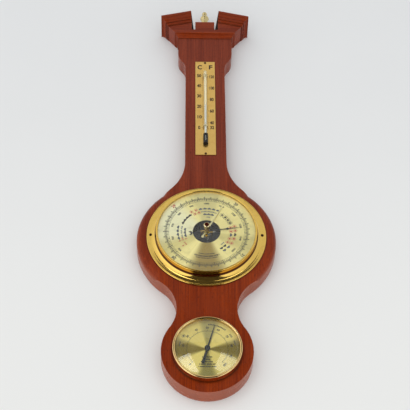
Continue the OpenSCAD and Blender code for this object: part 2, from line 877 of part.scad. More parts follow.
// The tube stands on its bulb, clear of the plate, held by the guard and the clips
module thermometer_tube() {
    straight = tube_top - bulb_at - tube_r;
    color([0.9, 0.93, 0.92, 0.5]) translate([0, -tube_y, bulb_at]) difference() {
        union() {
            sphere(bulb_r, $fn = 48);
            cylinder(r = tube_r, h = straight, $fn = 48);
            translate([0, 0, straight]) sphere(tube_r, $fn = 48);
        }
        sphere(bulb_bore_r, $fn = 48);
        cylinder(r = tube_bore_r, h = straight, $fn = 48);
    }
}

module liquid_column() {
    color(steel) translate([0, -tube_y, bulb_at]) {
        sphere(bulb_bore_r - running, $fn = 48);
        cylinder(r = column_r, h = level - bulb_at - meniscus_h, $fn = 48);
    }
}

// The top of the column, which rises and falls
module meniscus() {
    dome_r = 1.3 * column_r;
    color(steel) translate([0, -tube_y, level - meniscus_h]) {
        cylinder(r = column_r, h = meniscus_h - meniscus_dome_h, $fn = 48);
        translate([0, 0, meniscus_h - meniscus_dome_h]) intersection() {
            translate([0, 0, meniscus_dome_h - dome_r]) sphere(dome_r, $fn = 48);
            cylinder(r = column_r, h = meniscus_dome_h, $fn = 48);
        }
    }
}

module bulb_guard() {
    hollow_r = max(bulb_r, tube_r) + seat_gap / 2;
    r = hollow_r + guard_wall;
    low = bulb_at - bulb_r - guard_below;
    slot_inset = 3;
    slot_bottom = 0.72 * r;
    color(black) difference() {
        union() {
            translate([0, -tube_y, low]) cylinder(r = r, h = guard_l, $fn = 48);
            slab(plate_face, tube_y) translate([-r, low]) square([2 * r, guard_l]);
        }
        translate([0, -tube_y, low + guard_floor])
            cylinder(r = hollow_r, h = guard_l - 2 * guard_floor, $fn = 48);
        translate([0, -tube_y, low + 2 * guard_floor])
            cylinder(r = tube_r + seat_gap / 2, h = guard_l, $fn = 48);
        slab(tube_y + slot_bottom, tube_y + r + over)
            translate([-guard_slot_w / 2, low + slot_inset])
                square([guard_slot_w, guard_l - 2 * slot_inset]);
        slab(plate_face - r, plate_face)
            translate([-r - over, low - over]) square([2 * r + 2 * over, guard_l + 2 * over]);
    }
}

module tube_clips() {
    r = tube_r + clip_play;
    tall = clip_l + 2 * over;
    color(brass)
        for (z = [tube_top - upper_clip_drop, bulb_at + lower_clip_rise]) {
            translate([0, -tube_y, z]) difference() {
                cylinder(r = r + clip_t, h = clip_l, $fn = 32);
                translate([0, 0, -over]) cylinder(r = r, h = tall, $fn = 32);
                translate([-r - 2 * over, bite / 10, -over]) cube([2 * r + 4 * over, r + 2 * over, tall]);
            }
            for (x = [-r - clip_t, r])
                translate([x, -tube_y, z]) cube([clip_t, tube_y - plate_face, clip_l]);
        }
}

// The barometer's housing

module baro_bezel() {
    bead_x = bezel_r - rim_bead_r;
    bead_out = board_t + rim_bead_r;
    flat_out = cove_out - cove_r;
    flat_end = bead_x - 1.2;
    flat_fall = 0.1;
    glass_seat = glass_front + glass_play;
    outer = concat(
        arc(bead_x, bead_out, rim_bead_r, -90, 120, 7),
        [[flat_end, flat_out - flat_fall]],
        arc(cove_x, cove_out, cove_r, 270, 180, 12),
        arc(wall_r - lip_edge_r, lip_out - lip_edge_r, lip_edge_r, 0, 90, 4),
        [[opening_r + lip_chamfer, lip_out], [opening_r, lip_out - lip_chamfer]]
    );
    inner = concat(
        [[opening_r, glass_seat], [inner_r, glass_seat]],
        arc(cove_x, cove_out, cove_r + sheet_t, 180, 270, 12),
        [[bead_x - sheet_t, flat_out - sheet_t]]
    );
    color(brass) difference() {
        turned(dial_z) polygon(concat(outer, inner));
        for (x = [-1, 1] * bezel_screw_at) {
            rod(x, dial_z, board_t - over, cove_out, bezel_screw_shank_r + running, 24);
            rod(x, dial_z, bezel_screw_seat, cove_out, bezel_screw_head_r + running, 32);
        }
    }
}

module bezel_screws() {
    head_h = 0.7;
    slot = 0.5;
    color([0.28, 0.2, 0.12]) for (x = [-1, 1] * bezel_screw_at)
        screw(x, dial_z, bezel_screw_seat, bezel_screw_head_r, head_h,
            bezel_screw_shank_r, bezel_screw_l, slot);
}

module baro_glass() {
    color([0.9, 0.95, 0.93, 0.3]) slab(glass_back, glass_front)
        translate([0, dial_z]) difference() {
            circle(glass_r, $fn = 180);
            circle(glass_hole_r, $fn = 48);
        }
}

module ring(z, from, to, r_in, r_out) {
    slab(from, to) translate([0, z]) difference() {
        circle(r_out, $fn = 180);
        circle(r_in, $fn = 180);
    }
}

module glass_spacer() {
    color(brass) ring(dial_z, dial_front, glass_back, opening_r - seat_gap, glass_r);
}

module baro_dial() {
    color(pale_gold) ring(dial_z, dial_back, dial_front, dial_hole_r, glass_r);
}

module baro_case() {
    flange_r = glass_r - glass_side_gap;
    color(steel) difference() {
        turned(dial_z) polygon([
            [0, case_back], [case_r, case_back], [case_r, flange_back],
            [flange_r, flange_back], [flange_r, dial_back], [case_r - case_wall, dial_back],
            [case_r - case_wall, base_back], [0, base_back]
        ]);
        rod(0, dial_z, 0, base_front, regulator_r + regulator_access, 48);
        for (q = screw_ring)
            rod(q[0], dial_z + q[1], 0, base_front, plate_screw_r + running, 24);
    }
}

// A split wire ring that holds the case in the bezel
module retaining_ring() {
    color(steel) difference() {
        turned(dial_z) translate([glass_r - ring_wire_r, flange_back - ring_wire_r])
            circle(ring_wire_r, $fn = 24);
        translate([-ring_gap / 2, -lip_out, dial_z - bezel_r]) cube([ring_gap, lip_out, bezel_r / 2]);
    }
}

// The barometer's movement, hung on a plate in the case

module movement_plate() {
    color(black) difference() {
        slab(base_back, base_front) translate([0, dial_z]) circle(base_r, $fn = 120);
        rod(0, dial_z, base_back - over, base_front + over, regulator_r + running, 48);
        for (q = screw_ring)
            rod(q[0], dial_z + q[1], base_back - over, base_front + over, plate_screw_r + running, 24);
        for (x = [-1, 1] * spring_screw_x)
            rod(x, dial_z + spring_root_z, base_back - over, base_front + over,
                spring_screw_r + running, 24);
    }
}

module plate_screws() {
    head_back = case_back - plate_screw_head_h;
    chamfer = 0.4;
    end = base_front + 0.6;
    slot = 0.7;
    slot_depth = 0.5;
    color(steel) for (q = screw_ring) difference() {
        translate([q[0], 0, dial_z + q[1]]) rotate([90, 0, 0]) rotate_extrude($fn = 32)
            polygon([
                [0, head_back], [plate_screw_head_r - chamfer, head_back],
                [plate_screw_head_r, head_back + chamfer], [plate_screw_head_r, case_back],
                [plate_screw_r, case_back], [plate_screw_r, end], [0, end]
            ]);
        translate([q[0] - plate_screw_head_r - over, -head_back - slot_depth, dial_z + q[1] - slot / 2])
            cube([2 * plate_screw_head_r + 2 * over, slot_depth + over, slot]);
    }
}

// The capsule, its post and the knife-edge pin on the post
module aneroid_capsule() {
    mid = (capsule_back + capsule_front) / 2;
    n = capsule_waves * 8;
    waves_r = [for (i = [0:n]) capsule_flat_r + (capsule_r - 2 - capsule_flat_r) * i / n];
    waves_h = [for (i = [0:n])
        capsule_step + capsule_wave_h * (1 - cos(360 * capsule_waves * i / n)) / 2];
    color([0.78, 0.7, 0.52]) {
        turned(dial_z) polygon(concat(
            [[0, capsule_back]],
            [for (i = [0:n]) [waves_r[i], capsule_back + waves_h[i]]],
            [[capsule_r, mid - capsule_seam_half], [capsule_r, mid + capsule_seam_half]],
            [for (i = [n:-1:0]) [waves_r[i], capsule_front - waves_h[i]]],
            [[post_r, capsule_front], [post_r, post_top], [0, post_top]]
        ));
        translate([-knife_half, -leaf_front - knife_r, dial_z]) rotate([0, 90, 0])
            cylinder(r = knife_r, h = 2 * knife_half, $fn = 24);
    }
}

module regulating_screw() {
    low = case_back + 0.6;
    front = capsule_back - regulator_gap;
    slot = 0.8;
    color(brass) difference() {
        union() {
            rod(0, dial_z, low, front, regulator_r, 48);
            rod(0, dial_z, base_front + regulator_gap, front, regulator_r + regulator_flange, 48);
        }
        translate([-regulator_r - over, -low - slot, dial_z - slot / 2])
            cube([2 * regulator_r + 2 * over, slot + over, slot]);
    }
}

// The main spring runs from its root on the plate, round a bend and over the capsule
module main_spring() {
    mid = (base_front + leaf_front) / 2;
    bend = (leaf_front - base_front) / 2;
    color(steel) difference() {
        translate([-spring_w / 2, 0, dial_z]) rotate([90, 0, 90]) linear_extrude(spring_w) union() {
            translate([-base_front - spring_t, spring_root_z - spring_root_l])
                square([spring_t, spring_bend_z - spring_root_z + spring_root_l]);
            translate([-leaf_front, spring_low_z]) square([spring_t, spring_bend_z - spring_low_z]);
            translate([-mid, spring_bend_z]) intersection() {
                difference() {
                    circle(bend);
                    circle(bend - spring_t);
                }
                translate([-bend, 0]) square([2 * bend, bend]);
            }
        }
        rod(0, dial_z, leaf_back - over, leaf_front + bite, post_r + running, 48);
        for (x = [-1, 1] * spring_screw_x)
            rod(x, dial_z + spring_root_z, base_front - over, base_front + spring_t + over,
                spring_screw_r + running, 24);
    }
}

module spring_screws() {
    head_r = 1.8;
    head_h = 0.9;
    length = spring_t + base_t - 0.3;
    color(steel) for (x = [-1, 1] * spring_screw_x)
        screw(x, dial_z + spring_root_z, base_front + spring_t, head_r, head_h, spring_screw_r, length);
}

// The lever runs down the spring to the link that moves the rocking shaft
module main_lever() {
    low = rock_drop + rock_in_l + lever_end;
    color(steel) difference() {
        slab(lever_back, lever_front) translate([lever_x, dial_z]) {
            translate([-lever_w / 2, -low]) square([lever_w, low + lever_top]);
            translate([0, lever_top]) circle(lever_w / 2, $fn = 32);
        }
        rod(lever_x, dial_z - rock_drop - rock_in_l, lever_back - over, lever_front + over, link_r, 24);
    }
}

module link_rod() {
    color(steel) rod(lever_x, dial_z - rock_drop - rock_in_l,
        rock_out + rock_in_half + linkage_gap, lever_front, link_r, 24);
}

// The rocking shaft: a short arm hangs under the link, and a long one pulls the chain
module rocking_shaft() {
    color(brass) translate([0, -rock_out, dial_z - rock_drop]) {
        translate([-rock_half, 0, 0]) rotate([0, 90, 0]) cylinder(r = rock_r, h = 2 * rock_half, $fn = 32);
        translate([lever_x - rock_in_w / 2, -rock_in_half, -rock_in_l - rock_in_w / 2])
            cube([rock_in_w, 2 * rock_in_half, rock_in_l + rock_in_w / 2]);
        translate([chain_x - rock_arm_w / 2, -rock_arm_l - rock_arm_end, -rock_arm_t / 2])
            cube([rock_arm_w, rock_arm_l + rock_arm_end, rock_arm_t]);
    }
}

module shaft_posts() {
    half = shaft_post_half;
    color(brass) for (x = [-1, 1] * (rock_half - shaft_post_inset)) difference() {
        translate([x - shaft_post_t / 2, -rock_out - half, dial_z - rock_drop - half])
            cube([shaft_post_t, rock_out + half - base_front, 2 * half]);
        translate([x - shaft_post_t, -rock_out, dial_z - rock_drop]) rotate([0, 90, 0])
            cylinder(r = rock_r + running, h = 2 * shaft_post_t, $fn = 32);
    }
}

module bridge() {
    half = pillar_x + bridge_end;
    color(black) difference() {
        slab(bridge_back, bridge_front)
            translate([-half, dial_z - bridge_h / 2]) square([2 * half, bridge_h]);
        rod(0, dial_z, bridge_back - over, bridge_front + over, arbor_r + running, 32);
        for (x = [-1, 1] * pillar_x)
            rod(x, dial_z, bridge_back - over, bridge_front + over, pillar_tenon_r + running, 24);
    }
}

module bridge_pillars() {
    color(brass) for (x = [-1, 1] * pillar_x) {
        rod(x, dial_z, base_front, bridge_back, pillar_r, 32);
        rod(x, dial_z, bridge_back - bite, bridge_front + pillar_tenon_proud, pillar_tenon_r, 24);
    }
}

// The leaf-shaped cock that holds the front pivot of the arbor
module pivot_cock() {
    bar_l = cock_post_x + 1;
    color(brass) {
        difference() {
            slab(cock_back, cock_back + cock_t) translate([0, dial_z]) {
                intersection() {
                    translate([0, cock_leaf_r - cock_leaf_half]) circle(cock_leaf_r);
                    translate([0, cock_leaf_half - cock_leaf_r]) circle(cock_leaf_r);
                }
                translate([-bar_l, -cock_bar_half]) square([2 * bar_l, 2 * cock_bar_half]);
            }
            rod(0, dial_z, cock_back - over, cock_back + cock_t + over, arbor_r + running, 32);
        }
        for (x = [-1, 1] * cock_post_x)
            rod(x, dial_z, bridge_front, cock_back + bite, cock_post_r, 24);
    }
}

module baro_arbor() {
    color(brass) {
        rod(0, dial_z, bridge_back, hub_front, arbor_r, 32);
        rod(0, dial_z, chain_out - drum_l / 2, chain_out + drum_l / 2, drum_r, 32);
        rod(0, dial_z, hair_out, hair_out + hair_h, collet_r, 32);
    }
}

module hairspring() {
    end = hair_r + hair_pitch * hair_turns + bite;
    last = 360 * hair_turns;
    color(steel) {
        slab(hair_out, hair_out + hair_h) translate([0, dial_z])
            polygon(spiral(hair_r, hair_pitch, hair_turns, hair_t));
        rod(end * cos(last), dial_z + end * sin(last),
            bridge_front, hair_out + hair_h + hair_stud_proud, hair_stud_r, 24);
    }
}

module chain() {
    low = -rock_drop + rock_arm_t / 2 + bite;
    color(steel) translate([chain_x, -chain_out, dial_z + low]) cylinder(r = chain_r, h = -low, $fn = 24);
}

// Hands are drawn pointing up and turned to where they point

// The pointer has a diamond on its blade and a crescent at its tail
module baro_pointer() {
    root = 0.55;
    neck = 0.3;
    tip_l = 8;
    diamond = [1.4, 2.4];
    diamond_at = 0.6 * pointer_l;
    tail_w = 0.8;
    crescent_r = 2.4;
    crescent_cut_r = 2.1;
    crescent_shift = 1.5;
    color(black) clock(dial_z, pointer_a) difference() {
        union() {
            slab(pointer_out, pointer_out + pointer_t) {
                polygon([
                    [-root, 0], [-neck, pointer_l - tip_l], [0, pointer_l],
                    [neck, pointer_l - tip_l], [root, 0]
                ]);
                translate([0, diamond_at])
                    polygon([[-diamond.x, 0], [0, -diamond.y], [diamond.x, 0], [0, diamond.y]]);
                translate([-tail_w / 2, -pointer_tail_l + 2]) square([tail_w, pointer_tail_l - 2]);
                translate([0, -pointer_tail_l + 1]) difference() {
                    circle(crescent_r, $fn = 32);
                    translate([0, -crescent_shift]) circle(crescent_cut_r, $fn = 32);
                }
            }
            rod(0, 0, pointer_out - pointer_t, hub_front + hub_proud, hub_r, 32);
        }
        rod(0, 0, pointer_out - over, hub_front + running, arbor_r + running, 32);
    }
}

module set_hand() {
    front = set_hand_out + pointer_t;
    root = 0.9;
    neck = 0.45;
    tip_l = 6;
    tail = 0.6;
    color(brass) clock(dial_z, set_hand_a) difference() {
        union() {
            rod(0, 0, set_hand_out, front, set_hand_boss_r, 32);
            rod(0, -set_hand_tail, set_hand_out, front, set_hand_tail_r, 32);
            slab(set_hand_out, front) polygon([
                [-tail, -set_hand_tail], [-root, 0], [-neck, set_hand_l - tip_l], [0, set_hand_l],
                [neck, set_hand_l - tip_l], [root, 0], [tail, -set_hand_tail]
            ]);
        }
        rod(0, 0, set_hand_out - over, front + over, set_hand_bore, 32);
    }
}

// The knob in front of the glass, with its spindle through the glass
module set_knob() {
    base = glass_front + washer_t + bite;
    top = glass_front + set_knob_h;
    head_r = set_knob_r - 0.4;
    ridges = 24;
    ridge_r = 0.42;
    ridge_at = set_knob_r - 0.45;
    color(brass) {
        turned(dial_z) polygon([
            [0, base], [2.6, base], [2.6, base + 1], [1.7, base + 1.6], [1.5, top - 5.4],
            [2, top - 4.6], [head_r, top - 4.2], [head_r, top - 0.7],
            [set_knob_r - 1, top], [1.2, top], [0, top - 0.3]
        ]);
        for (i = [0:ridges - 1]) let (a = 360 * i / ridges)
            rod(ridge_at * cos(a), dial_z + ridge_at * sin(a), top - 4, top - 0.9, ridge_r, 16);
        rod(0, dial_z, set_hand_out + pointer_t, base + bite, spindle_r, 32);
        rod(0, dial_z, set_hand_out, base, set_hand_bore - running, 32);
    }
}

module knob_washer() {
    back = glass_front + washer_gap;
    color(steel) ring(dial_z, back, back + washer_t, glass_hole_r + bite, 2.8);
}

// The hygrometer

module hyg_bezel() {
    edge = 1.1;
    foot_h = 1;
    waist = 0.3;
    lean = 0.1;
    lip_fall = 0.5;
    glass_seat = hyg_glass_front + glass_play;
    color(brass) turned(hyg_z) polygon(concat(
        [[hyg_bezel_hole_r, board_t], [hyg_bezel_r, board_t], [hyg_bezel_r, board_t + foot_h]],
        [[hyg_bezel_r - waist, board_t + 1.6], [hyg_bezel_r - lean, hyg_top - 3]],
        arc(hyg_bezel_r - edge - lean, hyg_top - edge, edge, 0, 90, 5),
        [[hyg_open_r + lip_fall, hyg_top - lean], [hyg_open_r, hyg_top - lip_fall]],
        [[hyg_open_r, glass_seat], [hyg_inner_r, glass_seat]],
        [[hyg_inner_r, hyg_flange_back], [hyg_bezel_hole_r, hyg_flange_back]]
    ));
}

// A dome glass with a flat edge
module hyg_glass() {
    flat_margin = 0.6;
    flat_r = hyg_open_r - flat_margin;
    r = (flat_r * flat_r + hyg_dome_h * hyg_dome_h) / (2 * hyg_dome_h);
    half = asin(flat_r / r);
    n = 12;
    color([0.9, 0.95, 0.93, 0.3]) turned(hyg_z) polygon(concat(
        [[hyg_glass_r, hyg_glass_back], [hyg_glass_r, hyg_glass_front]],
        [for (i = [0:n]) let (a = half * (1 - i / n))
            [r * sin(a), hyg_glass_front + hyg_dome_h - r * (1 - cos(a))]],
        [for (i = [0:n]) let (a = half * i / n)
            [r * sin(a), hyg_glass_back + hyg_dome_h - r * (1 - cos(a))]]
    ));
}

module hyg_spacer() {
    color(brass) ring(hyg_z, hyg_dial_front, hyg_glass_back, hyg_open_r + seat_gap, hyg_glass_r);
}

module hyg_dial() {
    color(pale_gold) ring(hyg_z, hyg_dial_back, hyg_dial_front, hyg_arbor_r + running, hyg_glass_r);
}

module hyg_case() {
    color(steel) difference() {
        turned(hyg_z) polygon([
            [0, hyg_case_back], [hyg_case_r, hyg_case_back], [hyg_case_r, hyg_flange_back],
            [hyg_glass_r, hyg_flange_back], [hyg_glass_r, hyg_dial_back],
            [hyg_case_r - case_wall, hyg_dial_back], [hyg_case_r - case_wall, hyg_case_back + case_wall],
            [0, hyg_case_back + case_wall]
        ]);
        for (a = [0:60:300])
            rod(vent_ring_r * cos(a), hyg_z + vent_ring_r * sin(a), 0,
                hyg_case_back + case_wall + over, vent_r, 32);
    }
}

// Rear bearing of the hygrometer's arbor
module hyg_bush() {
    low = hyg_case_back + case_wall;
    color(brass) difference() {
        rod(0, hyg_z, low, low + hyg_bush_l, hyg_bush_r, 48);
        rod(0, hyg_z, low + hyg_bush_floor, low + hyg_bush_l + over, hyg_arbor_r + running, 32);
    }
}

module coil_post() {
    a = 360 * coil_turns;
    r = coil_out_r + coil_t + coil_post_r + running;
    proud = 0.4;
    color(brass) rod(r * cos(a), hyg_z + r * sin(a),
        hyg_case_back + case_wall, coil_out + coil_w + proud, coil_post_r, 24);
}

module humidity_coil() {
    color([0.72, 0.6, 0.4]) slab(coil_out, coil_out + coil_w) translate([0, hyg_z])
        polygon(spiral(coil_in_r, coil_pitch, coil_turns, coil_t));
}

module hyg_arbor() {
    low = hyg_case_back + case_wall + hyg_bush_floor + bite;
    collet_gap = 0.3;
    collet_inset = 0.2;
    color(steel) {
        rod(0, hyg_z, low, hyg_pointer_out + 1.2, hyg_arbor_r, 32);
        rod(0, hyg_z, coil_out + collet_inset, coil_out + coil_w - collet_inset,
            coil_in_r - collet_gap, 32);
    }
}

module hyg_pointer() {
    blade_t = 0.4;
    root = 0.9;
    mid = 0.55;
    tip = 0.2;
    tail = 1.7;
    tail_point = 1.2;
    hub_l = 1.6;
    color(black) clock(hyg_z, hyg_pointer_a) difference() {
        union() {
            slab(hyg_pointer_out, hyg_pointer_out + blade_t) {
                polygon([
                    [-root, 0], [-mid, hyg_pointer_l * 0.6], [-tip, hyg_pointer_l],
                    [tip, hyg_pointer_l], [mid, hyg_pointer_l * 0.6], [root, 0]
                ]);
                polygon([
                    [-root, 0], [-tail, -hyg_tail_l], [0, -hyg_tail_l - tail_point],
                    [tail, -hyg_tail_l], [root, 0]
                ]);
            }
            rod(0, 0, hyg_pointer_out - blade_t, hyg_pointer_out + hub_l, hyg_hub_r, 48);
        }
        rod(0, 0, hyg_pointer_out - over, hyg_pointer_out + hub_l - 0.3, hyg_arbor_r + running, 32);
    }
}

back_board();
head_block();
head_dowels();
finial();
crown_left_front();
crown_left_return();
crown_right_front();
crown_right_return();
collar_front();
collar_left();
collar_right();
hanger_plate();
hanger_screws();
thermometer_plate();
plate_pins();
thermometer_tube();
liquid_column();
meniscus();
bulb_guard();
tube_clips();
baro_bezel();
bezel_screws();
baro_glass();
glass_spacer();
baro_dial();
baro_case();
retaining_ring();
movement_plate();
plate_screws();
aneroid_capsule();
regulating_screw();
main_spring();
spring_screws();
main_lever();
link_rod();
rocking_shaft();
shaft_posts();
bridge();
bridge_pillars();
pivot_cock();
baro_arbor();
hairspring();
chain();
baro_pointer();
set_hand();
set_knob();
knob_washer();
hyg_bezel();
hyg_glass();
hyg_spacer();
hyg_dial();
hyg_case();
hyg_bush();
coil_post();
humidity_coil();
hyg_arbor();
hyg_pointer();
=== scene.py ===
"""Looks of a banjo-shaped analogue weather station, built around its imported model.

Everything is in metres in the model's own frame: +X to the right, +Z up, and the front faces -Y.
Sizes in the classes are in millimetres, as a maker would write them, and MM turns them into metres.
"""

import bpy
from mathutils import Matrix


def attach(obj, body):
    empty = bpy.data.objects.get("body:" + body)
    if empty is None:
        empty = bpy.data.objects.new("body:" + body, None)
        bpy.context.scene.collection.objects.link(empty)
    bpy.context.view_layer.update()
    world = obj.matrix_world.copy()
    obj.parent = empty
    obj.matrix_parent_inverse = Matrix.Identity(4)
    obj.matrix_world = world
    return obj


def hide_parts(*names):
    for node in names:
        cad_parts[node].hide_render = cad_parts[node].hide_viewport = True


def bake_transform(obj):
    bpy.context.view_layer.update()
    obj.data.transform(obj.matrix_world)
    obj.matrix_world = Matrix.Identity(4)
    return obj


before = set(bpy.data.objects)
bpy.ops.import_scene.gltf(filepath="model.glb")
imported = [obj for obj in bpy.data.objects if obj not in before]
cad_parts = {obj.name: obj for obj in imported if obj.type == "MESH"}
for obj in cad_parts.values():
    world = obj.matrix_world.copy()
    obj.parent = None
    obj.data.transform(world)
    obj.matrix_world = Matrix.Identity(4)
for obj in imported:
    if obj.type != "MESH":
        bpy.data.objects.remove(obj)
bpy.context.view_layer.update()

import logging
import math
from collections.abc import Callable, Sequence
from dataclasses import dataclass, field
from enum import Enum

import bpy
from mathutils import Matrix, Quaternion, Vector

MM = 0.001
PRINT_THICKNESS = 0.02
LOG = logging.getLogger("weather_station")

Point = tuple[float, float]
Place = tuple[float, float, float]
Colour = tuple[float, float, float]
Socket = bpy.types.NodeSocket


def tone(colour: Colour) -> tuple[float, ...]:
    """A colour as seen on a screen, turned into the linear values that shaders take.

    Args:
        colour: Red, green and blue, 0 to 255.

    Returns:
        Linear red, green and blue, and an alpha of 1.
    """
    shares = [level / 255 for level in colour]
    linear = [share / 12.92 if share <= 0.04045 else ((share + 0.055) / 1.055) ** 2.4 for share in shares]
    return (*linear, 1.0)


def graded(count: int, tenth: float, fifth: float, other: float) -> float:
    """The size of a mark on a scale.

    Args:
        count: The mark's number, where each tenth and each fifth mark differs from the rest.
        tenth: The size of a tenth mark.
        fifth: The size of a fifth mark that isn't a tenth one.
        other: The size of any other mark.

    Returns:
        The size of this mark.
    """
    if count % 10 == 0:
        return tenth
    return fifth if count % 5 == 0 else other


def walls(one: int, other: int, count: int) -> list[list[int]]:
    """Faces between two rings of corners.

    Args:
        one: The number of the first ring's first corner.
        other: The number of the second ring's first corner.
        count: How many corners each ring has.

    Returns:
        The faces, which look outward where the rings run anticlockwise seen from the second.
    """
    pairs = [(side, (side + 1) % count) for side in range(count)]
    return [[one + side, one + after, other + after, other + side] for side, after in pairs]


def slab(first: int, count: int) -> list[list[int]]:
    """Faces of a closed slab between two outlines, the second's corners numbered after the first's.

    Args:
        first: The number of the first corner.
        count: How many corners each outline has.

    Returns:
        The two caps and the walls, which look outward as the walls of two rings do.
    """
    under = list(reversed(range(first, first + count)))
    over = list(range(first + count, first + 2 * count))
    return [under, over] + walls(first, first + count, count)


class Graph:
    """A material's node tree, with short calls for the nodes that the finishes share."""

    def __init__(self, name: str) -> None:
        """Starts an empty material.

        Args:
            name: The material's name.
        """
        self.material = bpy.data.materials.new(name)
        self.material.use_nodes = True
        self.tree = self.material.node_tree
        self.tree.nodes.clear()
        self.place = self.add("ShaderNodeTexCoord").outputs["Object"]

    def add(self, kind: str, inputs: dict | None = None, **settings: object) -> bpy.types.Node:
        """Adds one node.

        Args:
            kind: Blender's name of the node type.
            inputs: Values or sockets for its inputs, by name or number.
            **settings: Properties of the node itself.

        Returns:
            The new node.
        """
        node = self.tree.nodes.new(kind)
        for key, value in settings.items():
            setattr(node, key, value)
        for key, value in (inputs or {}).items():
            if isinstance(value, Socket):
                self.tree.links.new(value, node.inputs[key])
            else:
                node.inputs[key].default_value = value
        return node

    def math(self, operation: str, first: object, second: object = 0.0) -> Socket:
        """The result of a math operation on two values or sockets."""
        return self.add("ShaderNodeMath", {0: first, 1: second}, operation=operation).outputs[0]

    def times(self, first: object, second: object) -> Socket:
        """The product of two values or sockets."""
        return self.math("MULTIPLY", first, second)

    def less(self, first: object, second: object) -> Socket:
        """The first value or socket less the second."""
        return self.math("SUBTRACT", first, second)

    def vectors(self, operation: str, first: object, second: object = (0.0, 0.0, 0.0)) -> bpy.types.Node:
        """The node of an operation on one or two vectors or sockets."""
        return self.add("ShaderNodeVectorMath", {0: first, 1: second}, operation=operation)

    def likeness(self, first: object, second: object) -> Socket:
        """How far two directions agree: 1 where they are one, 0 where they are square to each other."""
        return self.vectors("DOT_PRODUCT", first, second).outputs["Value"]

    def beside(self, axis: Point) -> Socket:
        """The way to the spot from an axis that points out of the front, in metres."""
        x, _, z = self.split(self.place)
        return self.join(self.less(x, axis[0] * MM), 0.0, self.less(z, axis[1] * MM))

    def length(self, vector: Socket) -> Socket:
        """The length of a vector socket."""
        return self.vectors("LENGTH", vector).outputs["Value"]

    def split(self, vector: Socket) -> tuple[Socket, Socket, Socket]:
        """The X, Y and Z of a vector socket."""
        parts = self.add("ShaderNodeSeparateXYZ", {0: vector}).outputs
        return parts[0], parts[1], parts[2]

    def join(self, x: object, y: object, z: object) -> Socket:
        """A vector socket made of three values or sockets."""
        return self.add("ShaderNodeCombineXYZ", {0: x, 1: y, 2: z}).outputs[0]

    def turn(self, vector: Socket, degrees: Sequence[float]) -> Socket:
        """A vector socket turned about the frame's axes."""
        angles = tuple(math.radians(angle) for angle in degrees)
        return self.add("ShaderNodeMapping", {"Vector": vector, "Rotation": angles}).outputs[0]

    def noise(self, vector: Socket, per_mm: Place, detail: float = 2.0, warp: float = 0.0) -> Socket:
        """Noise with its own fineness along each axis.

        Args:
            vector: Where to read it, in metres.
            per_mm: Waves to the millimetre along X, Y and Z.
            detail: How many finer layers it has.
            warp: How much it is distorted.

        Returns:
            A socket with values round one half.
        """
        scale = tuple(count / MM for count in per_mm)
        place = self.add("ShaderNodeMapping", {"Vector": vector, "Scale": scale}).outputs[0]
        inputs = {"Vector": place, "Scale": 1.0, "Detail": detail, "Distortion": warp}
        return self.add("ShaderNodeTexNoise", inputs).outputs[0]

    def ramp(self, value: Socket, low: float, high: float, to_low: float = 0.0,
             to_high: float = 1.0) -> Socket:
        """Takes a range of values smoothly onto another, held at its ends.

        Args:
            value: The value to read.
            low: Where the ramp starts.
            high: Where it ends.
            to_low: What it gives at the start.
            to_high: What it gives at the end.

        Returns:
            The ramped value.
        """
        inputs = {"Value": value, "From Min": low, "From Max": high, "To Min": to_low, "To Max": to_high}
        return self.add("ShaderNodeMapRange", inputs, interpolation_type="SMOOTHSTEP").outputs[0]

    def rise(self, heights: Point, to_low: float = 0.0, to_high: float = 1.0) -> Socket:
        """A ramp from one height in the frame to another, in millimetres."""
        return self.ramp(self.split(self.place)[2], heights[0] * MM, heights[1] * MM, to_low, to_high)

    def blend(self, factor: object, first: object, second: object, mode: str = "MIX") -> Socket:
        """Mixes two colours.

        Args:
            factor: How much of the second there is.
            first: The colour underneath.
            second: The colour on top.
            mode: Blender's name of the way of mixing.

        Returns:
            The mixed colour.
        """
        inputs = {0: factor, 6: first, 7: second}
        return self.add("ShaderNodeMix", inputs, data_type="RGBA", blend_type=mode).outputs[2]

    def bump(self, height: Socket, depth: float, normal: Socket | None = None) -> Socket:
        """A normal that follows a height.

        Args:
            height: The height, 0 to 1.
            depth: The real depth of a height of 1, in millimetres.
            normal: The normal to start from, if it isn't the mesh's.

        Returns:
            The bumped normal.
        """
        inputs = {"Height": height, "Distance": depth * MM, "Strength": 1.0}
        if normal is not None:
            inputs["Normal"] = normal
        return self.add("ShaderNodeBump", inputs).outputs[0]

    def rounded(self, radius: float) -> Socket:
        """The normal of a surface whose sharp edges are rounded by a radius in millimetres."""
        return self.add("ShaderNodeBevel", {"Radius": radius * MM}, samples=4).outputs[0]

    def true_normal(self) -> Socket:
        """The normal of the mesh itself."""
        return self.add("ShaderNodeNewGeometry").outputs["True Normal"]

    def edges(self, soft: Socket) -> Socket:
        """Where the rounded normal leaves the true one: 1 on an edge and 0 away from it."""
        return self.ramp(self.likeness(soft, self.true_normal()), 0.995, 0.8)

    def facing(self, aim: Place) -> Socket:
        """How squarely the true surface faces along a direction or against it, 0 to 1."""
        return self.math("ABSOLUTE", self.likeness(self.true_normal(), aim))

    def hollows(self, reach: float) -> Socket:
        """Corners of the surface within a reach in millimetres: 1 in a corner and 0 in the open."""
        open_sky = self.add("ShaderNodeAmbientOcclusion", {"Distance": reach * MM}, samples=6).outputs["AO"]
        return self.ramp(open_sky, 0.92, 0.5)

    def shader(self, inputs: dict) -> Socket:
        """A Principled shader with the given values or sockets."""
        return self.add("ShaderNodeBsdfPrincipled", inputs).outputs[0]

    def mixed(self, factor: Socket, first: Socket, second: Socket) -> Socket:
        """A shader that turns from the first to the second as the factor goes from 0 to 1."""
        return self.add("ShaderNodeMixShader", {0: factor, 1: first, 2: second}).outputs[0]

    def show(self, shader: Socket) -> bpy.types.Material:
        """Makes a shader the one that the material shows, and gives the material."""
        self.add("ShaderNodeOutputMaterial", {"Surface": shader})
        return self.material


